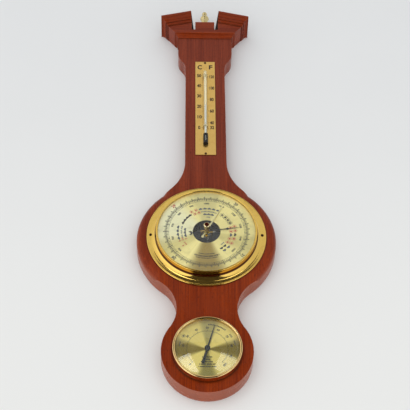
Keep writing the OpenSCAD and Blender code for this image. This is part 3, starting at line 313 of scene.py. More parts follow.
class Grain(Enum):
    """Which way the fibres of a piece of wood run, as the turn that brings them upright."""

    UPRIGHT = (0.0, 0.0, 0.0)
    ACROSS = (0.0, -90.0, 0.0)
    OUTWARD = (90.0, 0.0, 0.0)


class Lay(Enum):
    """Which way the tool marks of a metal run."""

    SPUN = "round an axis that points out of the front"
    UPRIGHT = "straight up and down"
    TURNED = "round an upright axis"
    EVEN = "no way in particular"


@dataclass(frozen=True)
class Mahogany:
    """Mahogany, stained red-brown and lacquered, with pores, fine streaks and a ribbon figure.

    Its sides can be painted paler, a painted reflection of the pale floor, and its upper part greyer, a
    painted sheen; mouldings and corners can be darkened with painted shade, and edges are paler from wear and
    a painted highlight. The cut faces of the slots in the head are dull and dark: dark end grain with the
    slots' shade painted on.
    A stain has two colours, for the dark and the light streaks. Sizes and heights are in millimetres.
    """

    name: str
    grain: Grain
    slope: float = 0.0
    gloss: float = 0.27
    coat: float = 0.05
    # Painted reflection: how strongly the sides are painted paler, standing in for the pale floor that they
    # reflect.
    side_reflection: float = 0.0
    sawn_within: float = 0.0
    # Painted sheen: how far the upper part is painted greyer, standing in for the lacquer's reflection of the
    # room above.
    sheen_veil: float = 0.0
    # Painted shade: how far the whole piece is darkened, standing in for the shade in its coves.
    moulding_shade: float = 0.0
    veil_heights: Point = (-340.0, -120.0)
    side_reflection_heights: Point = (-120.0, -380.0)
    edge_radius: float = 0.5
    corner_shade_reach: float = 3.5
    relief_depth: float = 0.015
    stain: tuple[Colour, Colour] = ((112, 34, 4), (152, 56, 8))
    # Stain colours under the painted sheen of the upper part.
    veiled_stain: tuple[Colour, Colour] = ((96, 42, 32), (130, 64, 48))
    # Colour of the painted shade on mouldings.
    moulding_shade_colour: Colour = (60, 16, 5)
    hair_colour: Colour = (84, 26, 10)
    pore_colour: Colour = (40, 12, 5)
    # Colour of the painted reflection on the sides.
    side_reflection_colour: Colour = (158, 96, 74)
    # Edge colour: partly wear, partly a painted highlight.
    worn_highlight_colour: Colour = (186, 100, 66)
    # Colour of the painted shade in corners.
    corner_shade_colour: Colour = (30, 8, 4)
    # Colour of dark end grain with the slots' painted shade.
    sawn_and_shaded_colour: Colour = (40, 15, 9)

    def make(self) -> bpy.types.Material:
        """Builds the material.

        Returns:
            The material.
        """
        graph = Graph(self.name)
        along = self.grain.value
        fibres = graph.turn(graph.place, (along[0], along[1] + self.slope, along[2]))
        streaks = graph.noise(fibres, (0.9, 0.9, 0.014), 4.0)
        hairs = graph.noise(fibres, (2.6, 2.6, 0.05), 2.0)
        pores = graph.ramp(graph.noise(fibres, (2.4, 2.4, 0.22), 1.0), 0.60, 0.68)
        colour = self.stained(graph, fibres, streaks)
        colour = graph.blend(graph.ramp(hairs, 0.35, 0.75, 0.0, 0.3), colour, tone(self.hair_colour))
        colour = graph.blend(graph.times(pores, 0.5), colour, tone(self.pore_colour))
        soft = graph.rounded(self.edge_radius)
        colour = self.painted_light_and_wear(graph, colour, streaks, soft)
        smears = graph.noise(graph.place, (0.05, 0.05, 0.03), 3.0)
        roughness = graph.ramp(smears, 0.3, 0.7, self.gloss - 0.05, self.gloss + 0.09)
        inputs = {"Coat Weight": self.coat}
        if self.sawn_within:
            # Dark end grain on the slots' cut faces, with the painted shade of the narrow slots.
            off_middle = graph.math("ABSOLUTE", graph.split(graph.place)[0])
            inner = graph.math("LESS_THAN", off_middle, self.sawn_within * MM)
            sawn_and_shaded = graph.times(inner, graph.ramp(graph.facing((1.0, 0.0, 0.0)), 0.5, 0.8))
            colour = graph.blend(sawn_and_shaded, colour, tone(self.sawn_and_shaded_colour))
            roughness = graph.math("MAXIMUM", roughness, graph.times(sawn_and_shaded, 0.95))
            inputs["Coat Weight"] = graph.less(self.coat, graph.times(sawn_and_shaded, self.coat))
        relief = graph.less(graph.times(hairs, 0.5), pores)
        return graph.show(graph.shader(inputs | {
            "Base Color": colour,
            "Roughness": roughness,
            "Specular IOR Level": 0.15,
            "Coat Roughness": 0.1,
            "Normal": graph.bump(relief, self.relief_depth, soft),
        }))

    def stained(self, graph: Graph, fibres: Socket, streaks: Socket) -> Socket:
        """The colour of the stained wood, its upper part greyed by a painted sheen and mouldings darkened by
        painted shade.

        Args:
            graph: The material's nodes.
            fibres: The place, turned so that the fibres run upright.
            streaks: The noise of the fine streaks.

        Returns:
            The colour, before pores and wear.
        """
        ribbon = graph.noise(fibres, (0.10, 0.10, 0.004), 2.0, 0.4)
        figure = graph.math("ADD", graph.times(ribbon, 0.4), graph.times(streaks, 0.6))
        # Painted sheen: the upper part turns greyer, standing in for the lacquer's reflection of the room
        # above.
        sheen_veil = graph.rise(self.veil_heights, 0.0, self.sheen_veil)
        dark, light = (graph.blend(sheen_veil, tone(unveiled), tone(veiled))
                       for unveiled, veiled in zip(self.stain, self.veiled_stain))
        colour = graph.blend(graph.ramp(figure, 0.32, 0.70), dark, light)
        # Painted shade: mouldings are darkened all over, standing in for the shade in their coves.
        return graph.blend(self.moulding_shade, colour, tone(self.moulding_shade_colour))

    def painted_light_and_wear(self, graph: Graph, colour: Socket, streaks: Socket, soft: Socket) -> Socket:
        """The colour with a painted reflection paling the sides, paler edges from wear and a painted
        highlight, and painted shade darkening the corners.

        Args:
            graph: The material's nodes.
            colour: The colour of the new wood.
            streaks: The noise of the fine streaks.
            soft: The normal with rounded edges.

        Returns:
            The colour.
        """
        corner_shade = graph.hollows(self.corner_shade_reach)
        # Painted reflection: sides are painted paler, more so low down, standing in for the pale floor
        # reflected on them.
        if self.side_reflection:
            side = graph.ramp(graph.facing((0.0, 1.0, 0.0)), 0.75, 0.25, 0.0, self.side_reflection)
            side = graph.times(side, graph.rise(self.side_reflection_heights, 0.2, 1.0))
            colour = graph.blend(side, colour, tone(self.side_reflection_colour))
        # Edges are painted paler, partly wear and partly a painted highlight; corners are left out.
        open_edge = graph.times(graph.edges(soft), graph.less(1.0, corner_shade))
        worn_and_highlit = graph.times(open_edge, graph.ramp(streaks, 0.35, 0.65, 0.2, 0.6))
        colour = graph.blend(worn_and_highlit, colour, tone(self.worn_highlight_colour))
        # Painted shade: corners and creases are painted near black where shade falls.
        return graph.blend(graph.times(corner_shade, 0.85), colour, tone(self.corner_shade_colour))


@dataclass(frozen=True)
class BareWood:
    """Unfinished pale wood of the dowels."""

    name: str
    dark: Colour = (176, 138, 92)
    light: Colour = (214, 182, 134)
    pore_colour: Colour = (120, 84, 50)
    relief_depth: float = 0.03

    def make(self) -> bpy.types.Material:
        """Builds the material.

        Returns:
            The material.
        """
        graph = Graph(self.name)
        streaks = graph.noise(graph.place, (0.9, 0.9, 0.03), 4.0)
        pores = graph.ramp(graph.noise(graph.place, (3.0, 3.0, 0.3), 1.0), 0.6, 0.7)
        colour = graph.blend(graph.ramp(streaks, 0.3, 0.7), tone(self.dark), tone(self.light))
        return graph.show(graph.shader({
            "Base Color": graph.blend(graph.times(pores, 0.5), colour, tone(self.pore_colour)),
            "Roughness": graph.ramp(streaks, 0.2, 0.8, 0.55, 0.75),
            "Specular IOR Level": 0.3,
            "Normal": graph.bump(graph.less(streaks, pores), self.relief_depth),
        }))


@dataclass(frozen=True)
class Metal:
    """A metal with tool marks, a little tarnish and brighter edges, partly from rubbing and partly a painted
    highlight. Its sizes are in millimetres.

    It can have a painted dark reflection on its front face within a radius of its axis, and a painted dark
    reflection between two radii.
    """

    name: str
    colour: Colour
    tarnish: Colour
    roughness: float
    lay: Lay = Lay.EVEN
    axis: Point = (0.0, 0.0)
    marks: float = 0.004
    metallic: float = 1.0
    lacquer: float = 0.0
    # How much the edges are lightened: partly rubbing, partly a painted highlight.
    edge: float = 0.25
    edge_radius: float = 0.15
    stained: float = 0.35
    # Painted reflection: radius within which the front face is painted dark.
    dark_reflection_core: float = 0.0
    dark_reflection_colour: Colour = (74, 26, 14)
    # Painted reflection: radii between which the metal is painted dark brown.
    dark_reflection_band: Point = (0.0, 0.0)
    band_reflection_colour: Colour = (84, 42, 10)

    def marks_along(self, graph: Graph) -> Socket:
        """The noise of the tool marks, which run as the metal's lay says.

        Args:
            graph: The metal's node tree.

        Returns:
            A socket with values round one half.
        """
        _, y, z = graph.split(graph.place)
        if self.lay is Lay.UPRIGHT:
            return graph.noise(graph.place, (5.0, 5.0, 0.06), 3.0)
        if self.lay is Lay.SPUN:
            far = graph.length(graph.beside(self.axis))
            return graph.noise(graph.join(far, y, 0.0), (3.5, 3.5, 0.0), 3.0)
        if self.lay is Lay.TURNED:
            return graph.noise(graph.join(0.0, 0.0, z), (0.0, 0.0, 4.0), 3.0)
        return graph.noise(graph.place, (2.5, 2.5, 2.5), 4.0)

    def darkened(self, graph: Graph, colour: Socket) -> Socket:
        """The colour with the painted dark reflections, near the axis and between two radii, where the metal
        has them.

        Args:
            graph: The material's nodes.
            colour: The colour of the clean metal.

        Returns:
            The colour.
        """
        fade, far = 0.3, graph.length(graph.beside(self.axis))
        # Painted reflection: the front face near the axis is painted dark red-brown, standing in for the dark
        # it reflects.
        if self.dark_reflection_core:
            core_reflection = graph.ramp(far, self.dark_reflection_core * MM, (self.dark_reflection_core - fade) * MM)
            faced_reflection = graph.times(core_reflection, graph.ramp(graph.facing((0.0, 1.0, 0.0)), 0.6, 0.9))
            colour = graph.blend(faced_reflection, colour, tone(self.dark_reflection_colour))
        # Painted reflection: a band between two radii is painted dark brown, standing in for the dark that
        # the bezel's steep wall reflects.
        if self.dark_reflection_band[1]:
            outer_fade = 0.4
            inside = graph.ramp(far, (self.dark_reflection_band[1] + outer_fade) * MM, self.dark_reflection_band[1] * MM)
            outside = graph.ramp(far, self.dark_reflection_band[0] * MM, (self.dark_reflection_band[0] + fade) * MM)
            colour = graph.blend(graph.times(inside, outside), colour, tone(self.band_reflection_colour))
        return colour

    def make(self) -> bpy.types.Material:
        """Builds the material.

        Returns:
            The material.
        """
        graph = Graph(self.name)
        marks = self.marks_along(graph)
        stains = graph.noise(graph.place, (0.16, 0.16, 0.16), 5.0, 0.6)
        stained = graph.ramp(stains, 0.45, 0.80, 0.0, self.stained)
        colour = graph.blend(stained, tone(self.colour), tone(self.tarnish))
        colour = graph.blend(graph.ramp(marks, 0.35, 0.8, 0.0, 0.3), colour, tone(self.tarnish))
        soft = graph.rounded(self.edge_radius)
        # Edges are painted lighter: partly rubbing, partly a painted highlight.
        rubbed_and_highlit = graph.times(graph.edges(soft), self.edge)
        rubbed_highlight_tone = tuple(min(255.0, level * 1.15 + 12) for level in self.colour)
        colour = self.darkened(graph, graph.blend(rubbed_and_highlit, colour, tone(rubbed_highlight_tone)))
        blur = graph.math("ADD", *(graph.ramp(noise, low, 0.8, 0.0, 0.05)
                                   for noise, low in ((stains, 0.4), (marks, 0.3))))
        return graph.show(graph.shader({
            "Base Color": colour,
            "Metallic": self.metallic,
            "Roughness": graph.math("ADD", blur, self.roughness),
            "Coat Weight": self.lacquer,
            "Coat Roughness": 0.08,
            "Normal": graph.bump(marks, self.marks, soft),
        }))


@dataclass(frozen=True)
class ReflectionWedge:
    """A painted reflection on a sunburst dial: a darker or lighter sector at a bearing clockwise from the
    top.
    """

    bearing: float
    half_width: float
    colour: Colour
    strength: float


@dataclass(frozen=True)
class Sunburst:
    """A pale gold dial, brushed round its centre, with lighter and darker sectors of painted reflection."""

    name: str
    centre_z: float
    colour: Colour
    painted_reflections: tuple[ReflectionWedge, ...]
    roughness: float = 0.32
    ray_colour: Colour = (178, 160, 84)
    stain_colour: Colour = (160, 140, 80)
    ring_depth: float = 0.0006

    def make(self) -> bpy.types.Material:
        """Builds the material.

        Returns:
            The material.
        """
        graph = Graph(self.name)
        way = graph.beside((0.0, self.centre_z))
        heading = graph.vectors("NORMALIZE", way).outputs[0]
        rays = graph.noise(heading, (0.028, 0.0, 0.028), 3.0)
        rings = graph.noise(graph.join(graph.length(way), 0.0, 0.0), (4.0, 0.0, 0.0), 2.0)
        faint_rays = graph.ramp(rays, 0.3, 0.7, 0.0, 0.12)
        colour = graph.blend(faint_rays, tone(self.colour), tone(self.ray_colour))
        # Painted reflections: each sector is painted lighter or darker, standing in for what the brushed
        # metal reflects.
        for reflection in self.painted_reflections:
            angle = math.radians(reflection.bearing)
            facing = graph.likeness(heading, (math.sin(angle), 0.0, math.cos(angle)))
            full, none = (math.cos(math.radians(reflection.half_width * share)) for share in (0.35, 1.35))
            share = graph.ramp(facing, none, full, 0.0, reflection.strength)
            colour = graph.blend(share, colour, tone(reflection.colour))
        stains = graph.ramp(graph.noise(graph.place, (0.12, 0.12, 0.12), 4.0), 0.5, 0.8, 0.0, 0.25)
        return graph.show(graph.shader({
            "Base Color": graph.blend(stains, colour, tone(self.stain_colour)),
            "Metallic": 0.65,
            "Roughness": graph.math("ADD", graph.ramp(rays, 0.3, 0.7, -0.02, 0.02), self.roughness),
            "Anisotropic": 0.7,
            "Anisotropic Rotation": 0.25,
            "Tangent": graph.add("ShaderNodeTangent", direction_type="RADIAL", axis="Y").outputs[0],
            "Coat Weight": 0.15,
            "Coat Roughness": 0.2,
            "Normal": graph.bump(rings, self.ring_depth),
        }))


@dataclass(frozen=True)
class Paint:
    """A coat of paint, enamel or printing ink, uneven by a little."""

    name: str
    colour: Colour
    thin: Colour
    roughness: float = 0.35
    fineness: float = 1.2
    relief_depth: float = 0.0005

    def make(self) -> bpy.types.Material:
        """Builds the material.

        Returns:
            The material.
        """
        graph = Graph(self.name)
        fine = graph.noise(graph.place, (self.fineness,) * 3, 4.0)
        broad = graph.ramp(graph.noise(graph.place, (self.fineness / 8,) * 3, 3.0), 0.35, 0.8, 0.0, 0.4)
        return graph.show(graph.shader({
            "Base Color": graph.blend(broad, tone(self.colour), tone(self.thin)),
            "Roughness": graph.ramp(fine, 0.25, 0.75, self.roughness - 0.03, self.roughness + 0.05),
            "Specular IOR Level": 0.4,
            "Normal": graph.bump(fine, self.relief_depth),
        }))


@dataclass(frozen=True)
class ClearGlass:
    """Clear glass that lets lamps through, with an opal back where a tube has one."""

    name: str
    opal_behind: float | None = None
    tint: Colour = (252, 255, 252)
    opal: tuple[Colour, Colour] = ((255, 246, 214), (242, 228, 190))

    def make(self) -> bpy.types.Material:
        """Builds the material.

        Returns:
            The material.
        """
        graph = Graph(self.name)
        smears = graph.noise(graph.place, (0.06, 0.06, 0.04), 3.0, 0.5)
        glass = graph.shader({
            "Base Color": tone(self.tint),
            "Roughness": graph.ramp(smears, 0.45, 0.8, 0.0, 0.015),
            "IOR": 1.5,
            "Transmission Weight": 1.0,
        })
        if self.opal_behind is not None:
            fade = 0.25
            out = graph.times(graph.split(graph.place)[1], -1.0)
            behind = graph.ramp(out, self.opal_behind * MM, (self.opal_behind - fade) * MM)
            flecks = graph.noise(graph.place, (0.8, 0.8, 0.2), 3.0)
            milk = graph.blend(flecks, *(tone(colour) for colour in self.opal))
            glass = graph.mixed(behind, glass, graph.shader({"Base Color": milk, "Roughness": 0.4}))
        lamps = graph.add("ShaderNodeLightPath").outputs["Is Shadow Ray"]
        return graph.show(graph.mixed(lamps, glass, graph.add("ShaderNodeBsdfTransparent").outputs[0]))


@dataclass(frozen=True)
class Stretch:
    """A second body and two places in millimetres, given with a piece that reaches over to it; only whether
    one is given is read.
    """

    body: str
    start: Place
    end: Place


class Bench:
    """Keeps the finishes that are made, and puts them on nodes and pieces."""

    def __init__(self) -> None:
        """Starts with no finishes."""
        self.made: dict[str, bpy.types.Material] = {}

    def finish(self, finish: object) -> bpy.types.Material:
        """The material of a finish, made the first time that it is asked for.

        Args:
            finish: The finish.

        Returns:
            Its material.
        """
        if finish.name not in self.made:
            self.made[finish.name] = finish.make()
        return self.made[finish.name]

    def dress(self, finish: object, *names: str) -> None:
        """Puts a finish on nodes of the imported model.

        Args:
            finish: The finish.
            *names: The nodes.
        """
        for name in names:
            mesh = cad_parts[name].data
            mesh.materials.clear()
            mesh.materials.append(self.finish(finish))
            LOG.info("dressed %s with %s", name, finish.name)

    def place(self, name: str, mesh: bpy.types.Mesh, finish: object, body: str, replaces: str = "",
              slot: str = "", stretch: Stretch | None = None) -> bpy.types.Object:
        """Adds a new piece.

        Args:
            name: The piece's name.
            mesh: Its mesh, already in its place.
            finish: Its finish.
            body: The body that it rides on.
            replaces: The node that it stands for, if any.
            slot: Not used.
            stretch: Given for a piece that reaches over to a second body; then its place is baked into its
                mesh and it is not hung on a body.

        Returns:
            The new object.
        """
        piece = bpy.data.objects.new(name, mesh)
        bpy.context.scene.collection.objects.link(piece)
        mesh.materials.append(self.finish(finish))
        if stretch:
            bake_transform(piece)
        else:
            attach(piece, body)
        if replaces:
            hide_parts(replaces)
        LOG.info("placed %s on %s", name, body)
        return piece


def arc(centre: Point, radius: float, start: float, end: float, steps: int = 12) -> list[Point]:
    """Points of an arc in a flat outline.

    Args:
        centre: Its centre.
        radius: Its radius.
        start: The angle of its first point, in degrees from the first axis towards the second.
        end: The angle of its last point.
        steps: How many steps it has.

    Returns:
        The points in order.
    """
    angles = [math.radians(start + (end - start) * step / steps) for step in range(steps + 1)]
    return [(centre[0] + radius * math.cos(a), centre[1] + radius * math.sin(a)) for a in angles]


def lathe(name: str, profile: Sequence[Point], origin: Place, upright: bool = False, sides: int = 192,
          sharp: float = 35.0) -> bpy.types.Mesh:
    """A mesh turned from a closed profile of radius and height.

    Args:
        name: The mesh's name.
        profile: Radius and height of each corner, in millimetres, anticlockwise with radius to the right.
        origin: A point on the axis where the height is 0, in millimetres.
        upright: Whether the axis points up. Otherwise it points out of the front.
        sides: How many steps there are in a turn.
        sharp: The angle over which an edge stays sharp, in degrees.

    Returns:
        The mesh.
    """
    points: list[Vector] = []
    rings: list[list[int]] = []
    for radius, height in profile:
        first = len(points)
        count = 1 if radius < 1e-6 else sides
        for side in range(count):
            angle = 2 * math.pi * side / sides
            across, along = radius * math.cos(angle), radius * math.sin(angle)
            local = Vector((across, along, height)) if upright else Vector((across, -height, along))
            points.append((Vector(origin) + local) * MM)
        rings.append([first + side % count for side in range(sides)])
    faces = []
    for one, other in zip(rings, rings[1:] + rings[:1]):
        for side in range(sides):
            after = (side + 1) % sides
            face = list(dict.fromkeys((one[side], one[after], other[after], other[side])))
            if len(face) > 2:
                faces.append(face)
    mesh = bpy.data.meshes.new(name)
    mesh.from_pydata(points, [], faces)
    mesh.validate()
    mesh.shade_smooth()
    mesh.set_sharp_from_angle(angle=math.radians(sharp))
    return mesh


@dataclass
class Print:
    """Flat printing on a face that looks out of the front: ticks, lines, numbers and pictures."""

    origin: Point
    face: float
    points: list[Vector] = field(default_factory=list)
    faces: list[list[int]] = field(default_factory=list)
    glyphs: dict[tuple[str, float], tuple[list[Vector], list[list[int]]]] = field(default_factory=dict)

    def spot(self, x: float, z: float, raised: float = 0.0) -> Vector:
        """The place in the frame of a spot on the face, in metres."""
        return Vector((self.origin[0] + x, -(self.face + raised), self.origin[1] + z)) * MM

    def strip(self, left: Sequence[Point], right: Sequence[Point], closed: bool = False) -> None:
        """Prints the area between two lines as a thin closed sheet.

        Args:
            left: One line's points.
            right: The other's, as many.
            closed: Whether the strip joins its own start.
        """
        first, count = len(self.points), len(left)
        for a, b in zip(left, right):
            self.points += [self.spot(*a), self.spot(*a, PRINT_THICKNESS)]
            self.points += [self.spot(*b, PRINT_THICKNESS), self.spot(*b)]
        for step in range(count if closed else count - 1):
            self.faces += walls(first + 4 * step, first + 4 * ((step + 1) % count), 4)
        if not closed:
            last = first + 4 * (count - 1)
            self.faces += [[first + 3, first + 2, first + 1, first], [last, last + 1, last + 2, last + 3]]

    def stroke(self, line: Sequence[Point], width: float, closed: bool = False) -> None:
        """Prints a line of a width along some points.

        Args:
            line: The points.
            width: The line's width.
            closed: Whether it joins its own start.
        """
        left, right, count = [], [], len(line)
        for step, (x, z) in enumerate(line):
            before = line[(step - 1) % count] if closed or step else line[step]
            after = line[(step + 1) % count] if closed or step < count - 1 else line[step]
            run = Vector((after[0] - before[0], after[1] - before[1])).normalized() * width / 2
            left.append((x - run.y, z + run.x))
            right.append((x + run.y, z - run.x))
        self.strip(left, right, closed)

    def ring(self, radius: float, width: float, start: float = -180.0, end: float = 180.0) -> None:
        """Prints a circle, or the part of it between two bearings clockwise from the top.

        Args:
            radius: The circle's radius.
            width: The line's width.
            start: The bearing where it starts, in degrees.
            end: The bearing where it ends.
        """
        whole = end - start >= 360
        degrees_to_step = 2.5
        line = arc((0.0, 0.0), radius, 90 - start, 90 - end, max(4, round((end - start) / degrees_to_step)))
        self.stroke(line[:-1] if whole else line, width, whole)

    def tick(self, bearing: float, inner: float, outer: float, width: float) -> None:
        """Prints a mark that points outward, between two radii at a bearing.

        Args:
            bearing: Where it is, in degrees clockwise from the top.
            inner: The radius of its inner end.
            outer: The radius of its outer end.
            width: Its width.
        """
        angle = math.radians(bearing)
        aim = Vector((math.sin(angle), math.cos(angle)))
        self.stroke([tuple(aim * inner), tuple(aim * outer)], width)

    def shape(self, outline: Sequence[Point]) -> None:
        """Prints a filled outline.

        Args:
            outline: Its corners, anticlockwise.
        """
        self.faces += slab(len(self.points), len(outline))
        for raised in (0.0, PRINT_THICKNESS):
            self.points += [self.spot(x, z, raised) for x, z in outline]

    def number(self, text: str, x: float, z: float, height: float, lean: float = 0.0,
               width: float = 0.0) -> None:
        """Prints a number or a sign centred on a spot.

        Args:
            text: What to print.
            x: How far right of the origin its middle is.
            z: How far up its middle is.
            height: The height of a digit.
            lean: How far it is turned clockwise, in degrees.
            width: How wide it is drawn, or 0 for its own width.
        """
        if (text, height) not in self.glyphs:
            self.glyphs[(text, height)] = self.cut(text, height)
        points, faces = self.glyphs[(text, height)]
        first = len(self.points)
        angle = math.radians(lean)
        span = max(point.x for point in points) - min(point.x for point in points)
        squeeze = width / span if width else 1.0
        for point in points:
            across = point.x * squeeze
            right = across * math.cos(angle) + point.y * math.sin(angle)
            up = point.y * math.cos(angle) - across * math.sin(angle)
            self.points.append(self.spot(x + right, z + up, point.z))
        self.faces += [[first + corner for corner in face] for face in faces]

    @staticmethod
    def cut(text: str, height: float) -> tuple[list[Vector], list[list[int]]]:
        """The mesh of some digits, in millimetres, centred and lying flat.

        Args:
            text: The digits.
            height: Their height.

        Returns:
            Points and faces.
        """
        size_of_height, bolder = 1.37, 0.05
        curve = bpy.data.curves.new("digits", "FONT")
        curve.body = text
        curve.size = height * size_of_height
        curve.align_x = "CENTER"
        curve.extrude = PRINT_THICKNESS / 2
        curve.offset = height * bolder
        curve.resolution_u = 3
        holder = bpy.data.objects.new("digits", curve)
        bpy.context.scene.collection.objects.link(holder)
        graph = bpy.context.evaluated_depsgraph_get()
        mesh = bpy.data.meshes.new_from_object(holder.evaluated_get(graph))
        lift = Vector((0.0, -height / 2, PRINT_THICKNESS / 2))
        points = [vertex.co + lift for vertex in mesh.vertices]
        faces = [list(face.vertices) for face in mesh.polygons]
        bpy.data.objects.remove(holder)
        bpy.data.curves.remove(curve)
        bpy.data.meshes.remove(mesh)
        return points, faces

    def label(self, text: str, radius: float, bearing: float, height: float) -> None:
        """Prints a number on a round scale, its top outward."""
        angle = math.radians(bearing)
        self.number(text, radius * math.sin(angle), radius * math.cos(angle), height, bearing)

    def mesh(self, name: str) -> bpy.types.Mesh:
        """The mesh of all that was printed.

        Args:
            name: The mesh's name.

        Returns:
            The mesh.
        """
        mesh = bpy.data.meshes.new(name)
        mesh.from_pydata(self.points, [], self.faces)
        mesh.validate()
        return mesh


@dataclass(frozen=True)
class Sign:
    """A plain weather sign at a place on a round dial, its top outward."""

    radius: float
    bearing: float
    size: float

    def lay(self, outline: Sequence[Point]) -> list[Point]:
        """Takes points of a sign to their place on the dial.

        Args:
            outline: Points round the middle of a sign of size 1.

        Returns:
            The points on the dial, in millimetres.
        """
        angle = math.radians(self.bearing)
        aside, ahead = Vector((math.cos(angle), -math.sin(angle))), Vector((math.sin(angle), math.cos(angle)))
        return [tuple(aside * x * self.size + ahead * (self.radius + z * self.size)) for x, z in outline]

    def disc(self, ink: Print, x: float, z: float, radius: float) -> None:
        """Prints a filled disc."""
        ink.shape(self.lay(arc((x, z), radius, 0, 340, 17)))

    def cloud(self, ink: Print) -> None:
        """Prints a filled cloud.

        Args:
            ink: The print that it goes into.
        """
        for x, z, radius in ((-0.3, -0.06, 0.16), (-0.03, 0.08, 0.23), (0.27, -0.02, 0.17)):
            self.disc(ink, x, z, radius)
        ink.stroke(self.lay([(-0.4, -0.16), (0.4, -0.16)]), self.size * 0.13)

    def sun(self, ink: Print) -> None:
        """Prints a filled sun with rays.

        Args:
            ink: The print that it goes into.
        """
        self.disc(ink, 0.0, 0.0, 0.22)
        for ray in range(8):
            angle = math.pi * ray / 4
            aim = (math.cos(angle), math.sin(angle))
            ends = [(aim[0] * 0.3, aim[1] * 0.3), (aim[0] * 0.5, aim[1] * 0.5)]
            ink.stroke(self.lay(ends), self.size * 0.11)

    def drops(self, ink: Print) -> None:
        """Prints three filled rain drops side by side.

        Args:
            ink: The print that it goes into.
        """
        for middle in (-0.34, 0.0, 0.34):
            body = arc((middle, -0.1), 0.12, 160, 380, 10)
            ink.shape(self.lay([(middle, 0.3)] + body))

    def bolt(self, ink: Print) -> None:
        """Prints a filled flash of lightning."""
        outline = [(0.06, 0.4), (-0.2, -0.04), (-0.02, -0.04), (-0.1, -0.42), (0.2, 0.08), (0.02, 0.08)]
        ink.shape(self.lay(outline))


@dataclass(frozen=True)
class Row:
    """Signs of one kind in one ink, spread evenly round a dial between two bearings."""

    draw: Callable[[Sign, Print], None]
    ink: str
    size: float
    radius: float
    first: float
    last: float
    count: int

    def put(self, inks: dict[str, Print]) -> None:
        """Prints the signs with the row's ink.

        Args:
            inks: The prints, by the colour of their ink.
        """
        step = (self.last - self.first) / max(1, self.count - 1)
        for place in range(self.count):
            self.draw(Sign(self.radius, self.first + step * place, self.size), inks[self.ink])


INK_BLACK = Paint("printing_ink_black", (30, 26, 20), (52, 44, 34), 0.45, 2.5)
INK_RED = Paint("printing_ink_red", (186, 62, 42), (204, 96, 66), 0.45, 2.5)
INK_BLUE = Paint("printing_ink_blue", (74, 80, 100), (100, 104, 118), 0.45, 2.5)
INK_BROWN = Paint("printing_ink_brown", (44, 26, 12), (62, 38, 18), 0.45, 2.5)
ENAMEL = Paint("satin_black_enamel", (22, 22, 24), (30, 29, 29), 0.42, 1.5)
GLASS = ClearGlass("clear_flat_glass")


@dataclass
class Woodwork:
    """The board, the head block, and the mouldings on it."""

    rake: float = 14.0
    slots_within: float = 20.0

    def build(self, bench: Bench) -> None:
        """Dresses each piece of wood with the grain that it is cut with.

        Args:
            bench: The bench that keeps the finishes.
        """
        # Painted sheen greys the upper board and the head; the board's sides also get a painted reflection.
        bench.dress(Mahogany("mahogany_board", Grain.UPRIGHT, side_reflection=0.5, sheen_veil=0.6), "back_board")
        head = Mahogany("mahogany_head", Grain.ACROSS, sawn_within=self.slots_within, sheen_veil=0.4)
        bench.dress(head, "head_block")
        # Mouldings get painted shade that darkens them all over.
        bench.dress(Mahogany("mahogany_collar", Grain.ACROSS, moulding_shade=0.12), "collar_front")
        for side, slope in (("left", self.rake), ("right", -self.rake)):
            name = f"mahogany_crown_{side}"
            front = Mahogany(name, Grain.ACROSS, slope, sawn_within=self.slots_within, moulding_shade=0.22)
            bench.dress(front, f"crown_{side}_front")
        sides = ("crown_left_return", "crown_right_return", "collar_left", "collar_right")
        bench.dress(Mahogany("mahogany_side_moulding", Grain.OUTWARD, moulding_shade=0.25), *sides)
        bench.dress(BareWood("beech_dowel"), "head_dowels")


@dataclass
class Finial:
    """The turned brass finial on the plinth."""

    axis_out: float = 12.5
    foot_z: float = 61.7
    brass: Metal = Metal("turned_brass", (222, 204, 150), (176, 150, 96), 0.12, Lay.TURNED, marks=0.003)

    def profile(self) -> list[Point]:
        """Radius and height from the foot up to the top of the ball.

        Returns:
            The outline's points, in millimetres.
        """
        foot = [(0.0, 0.0), (4.4, 0.0), (4.4, 1.2), (3.6, 1.6), (2.8, 2.6), (2.4, 3.2), (2.1, 5.0)]
        bead = [(2.6, 6.4), (3.6, 7.0), (3.9, 7.7), (3.9, 8.4), (3.2, 9.6)]
        vase = [(3.25, 10.5), (3.6, 11.4), (4.0, 13.4), (4.2, 15.3)]
        belly = [(4.0 + 1.4 * x, 18.7 + 2.2 * z) for x, z in arc((0.0, 0.0), 1.0, -60, 60, 12)]
        neck = [(3.0, 21.7), (2.3, 22.2), (2.0, 22.7), (1.95, 23.6)]
        return foot + bead + vase + belly + neck + arc((0.0, 27.1), 3.1, -50, 90, 14)

    def build(self, bench: Bench) -> None:
        """Turns the finial.

        Args:
            bench: The bench that keeps the finishes.
        """
        origin = (0.0, -self.axis_out, self.foot_z)
        mesh = lathe("finial_turned", self.profile(), origin, upright=True, sides=64)
        bench.place("finial_turned", mesh, self.brass, "board", "finial", "turned_brass")


@dataclass
class Hanger:
    """The keyhole plate on the back, with its screws."""

    plate: Metal = Metal("hanger_brass", (214, 178, 96), (150, 112, 58), 0.3, Lay.UPRIGHT, marks=0.01)
    screws: Metal = Metal("steel_screws", (176, 174, 170), (120, 112, 102), 0.28, marks=0.006)

    def build(self, bench: Bench) -> None:
        """Dresses the plate and the screws."""
        bench.dress(self.plate, "hanger_plate")
        bench.dress(self.screws, "hanger_screws")


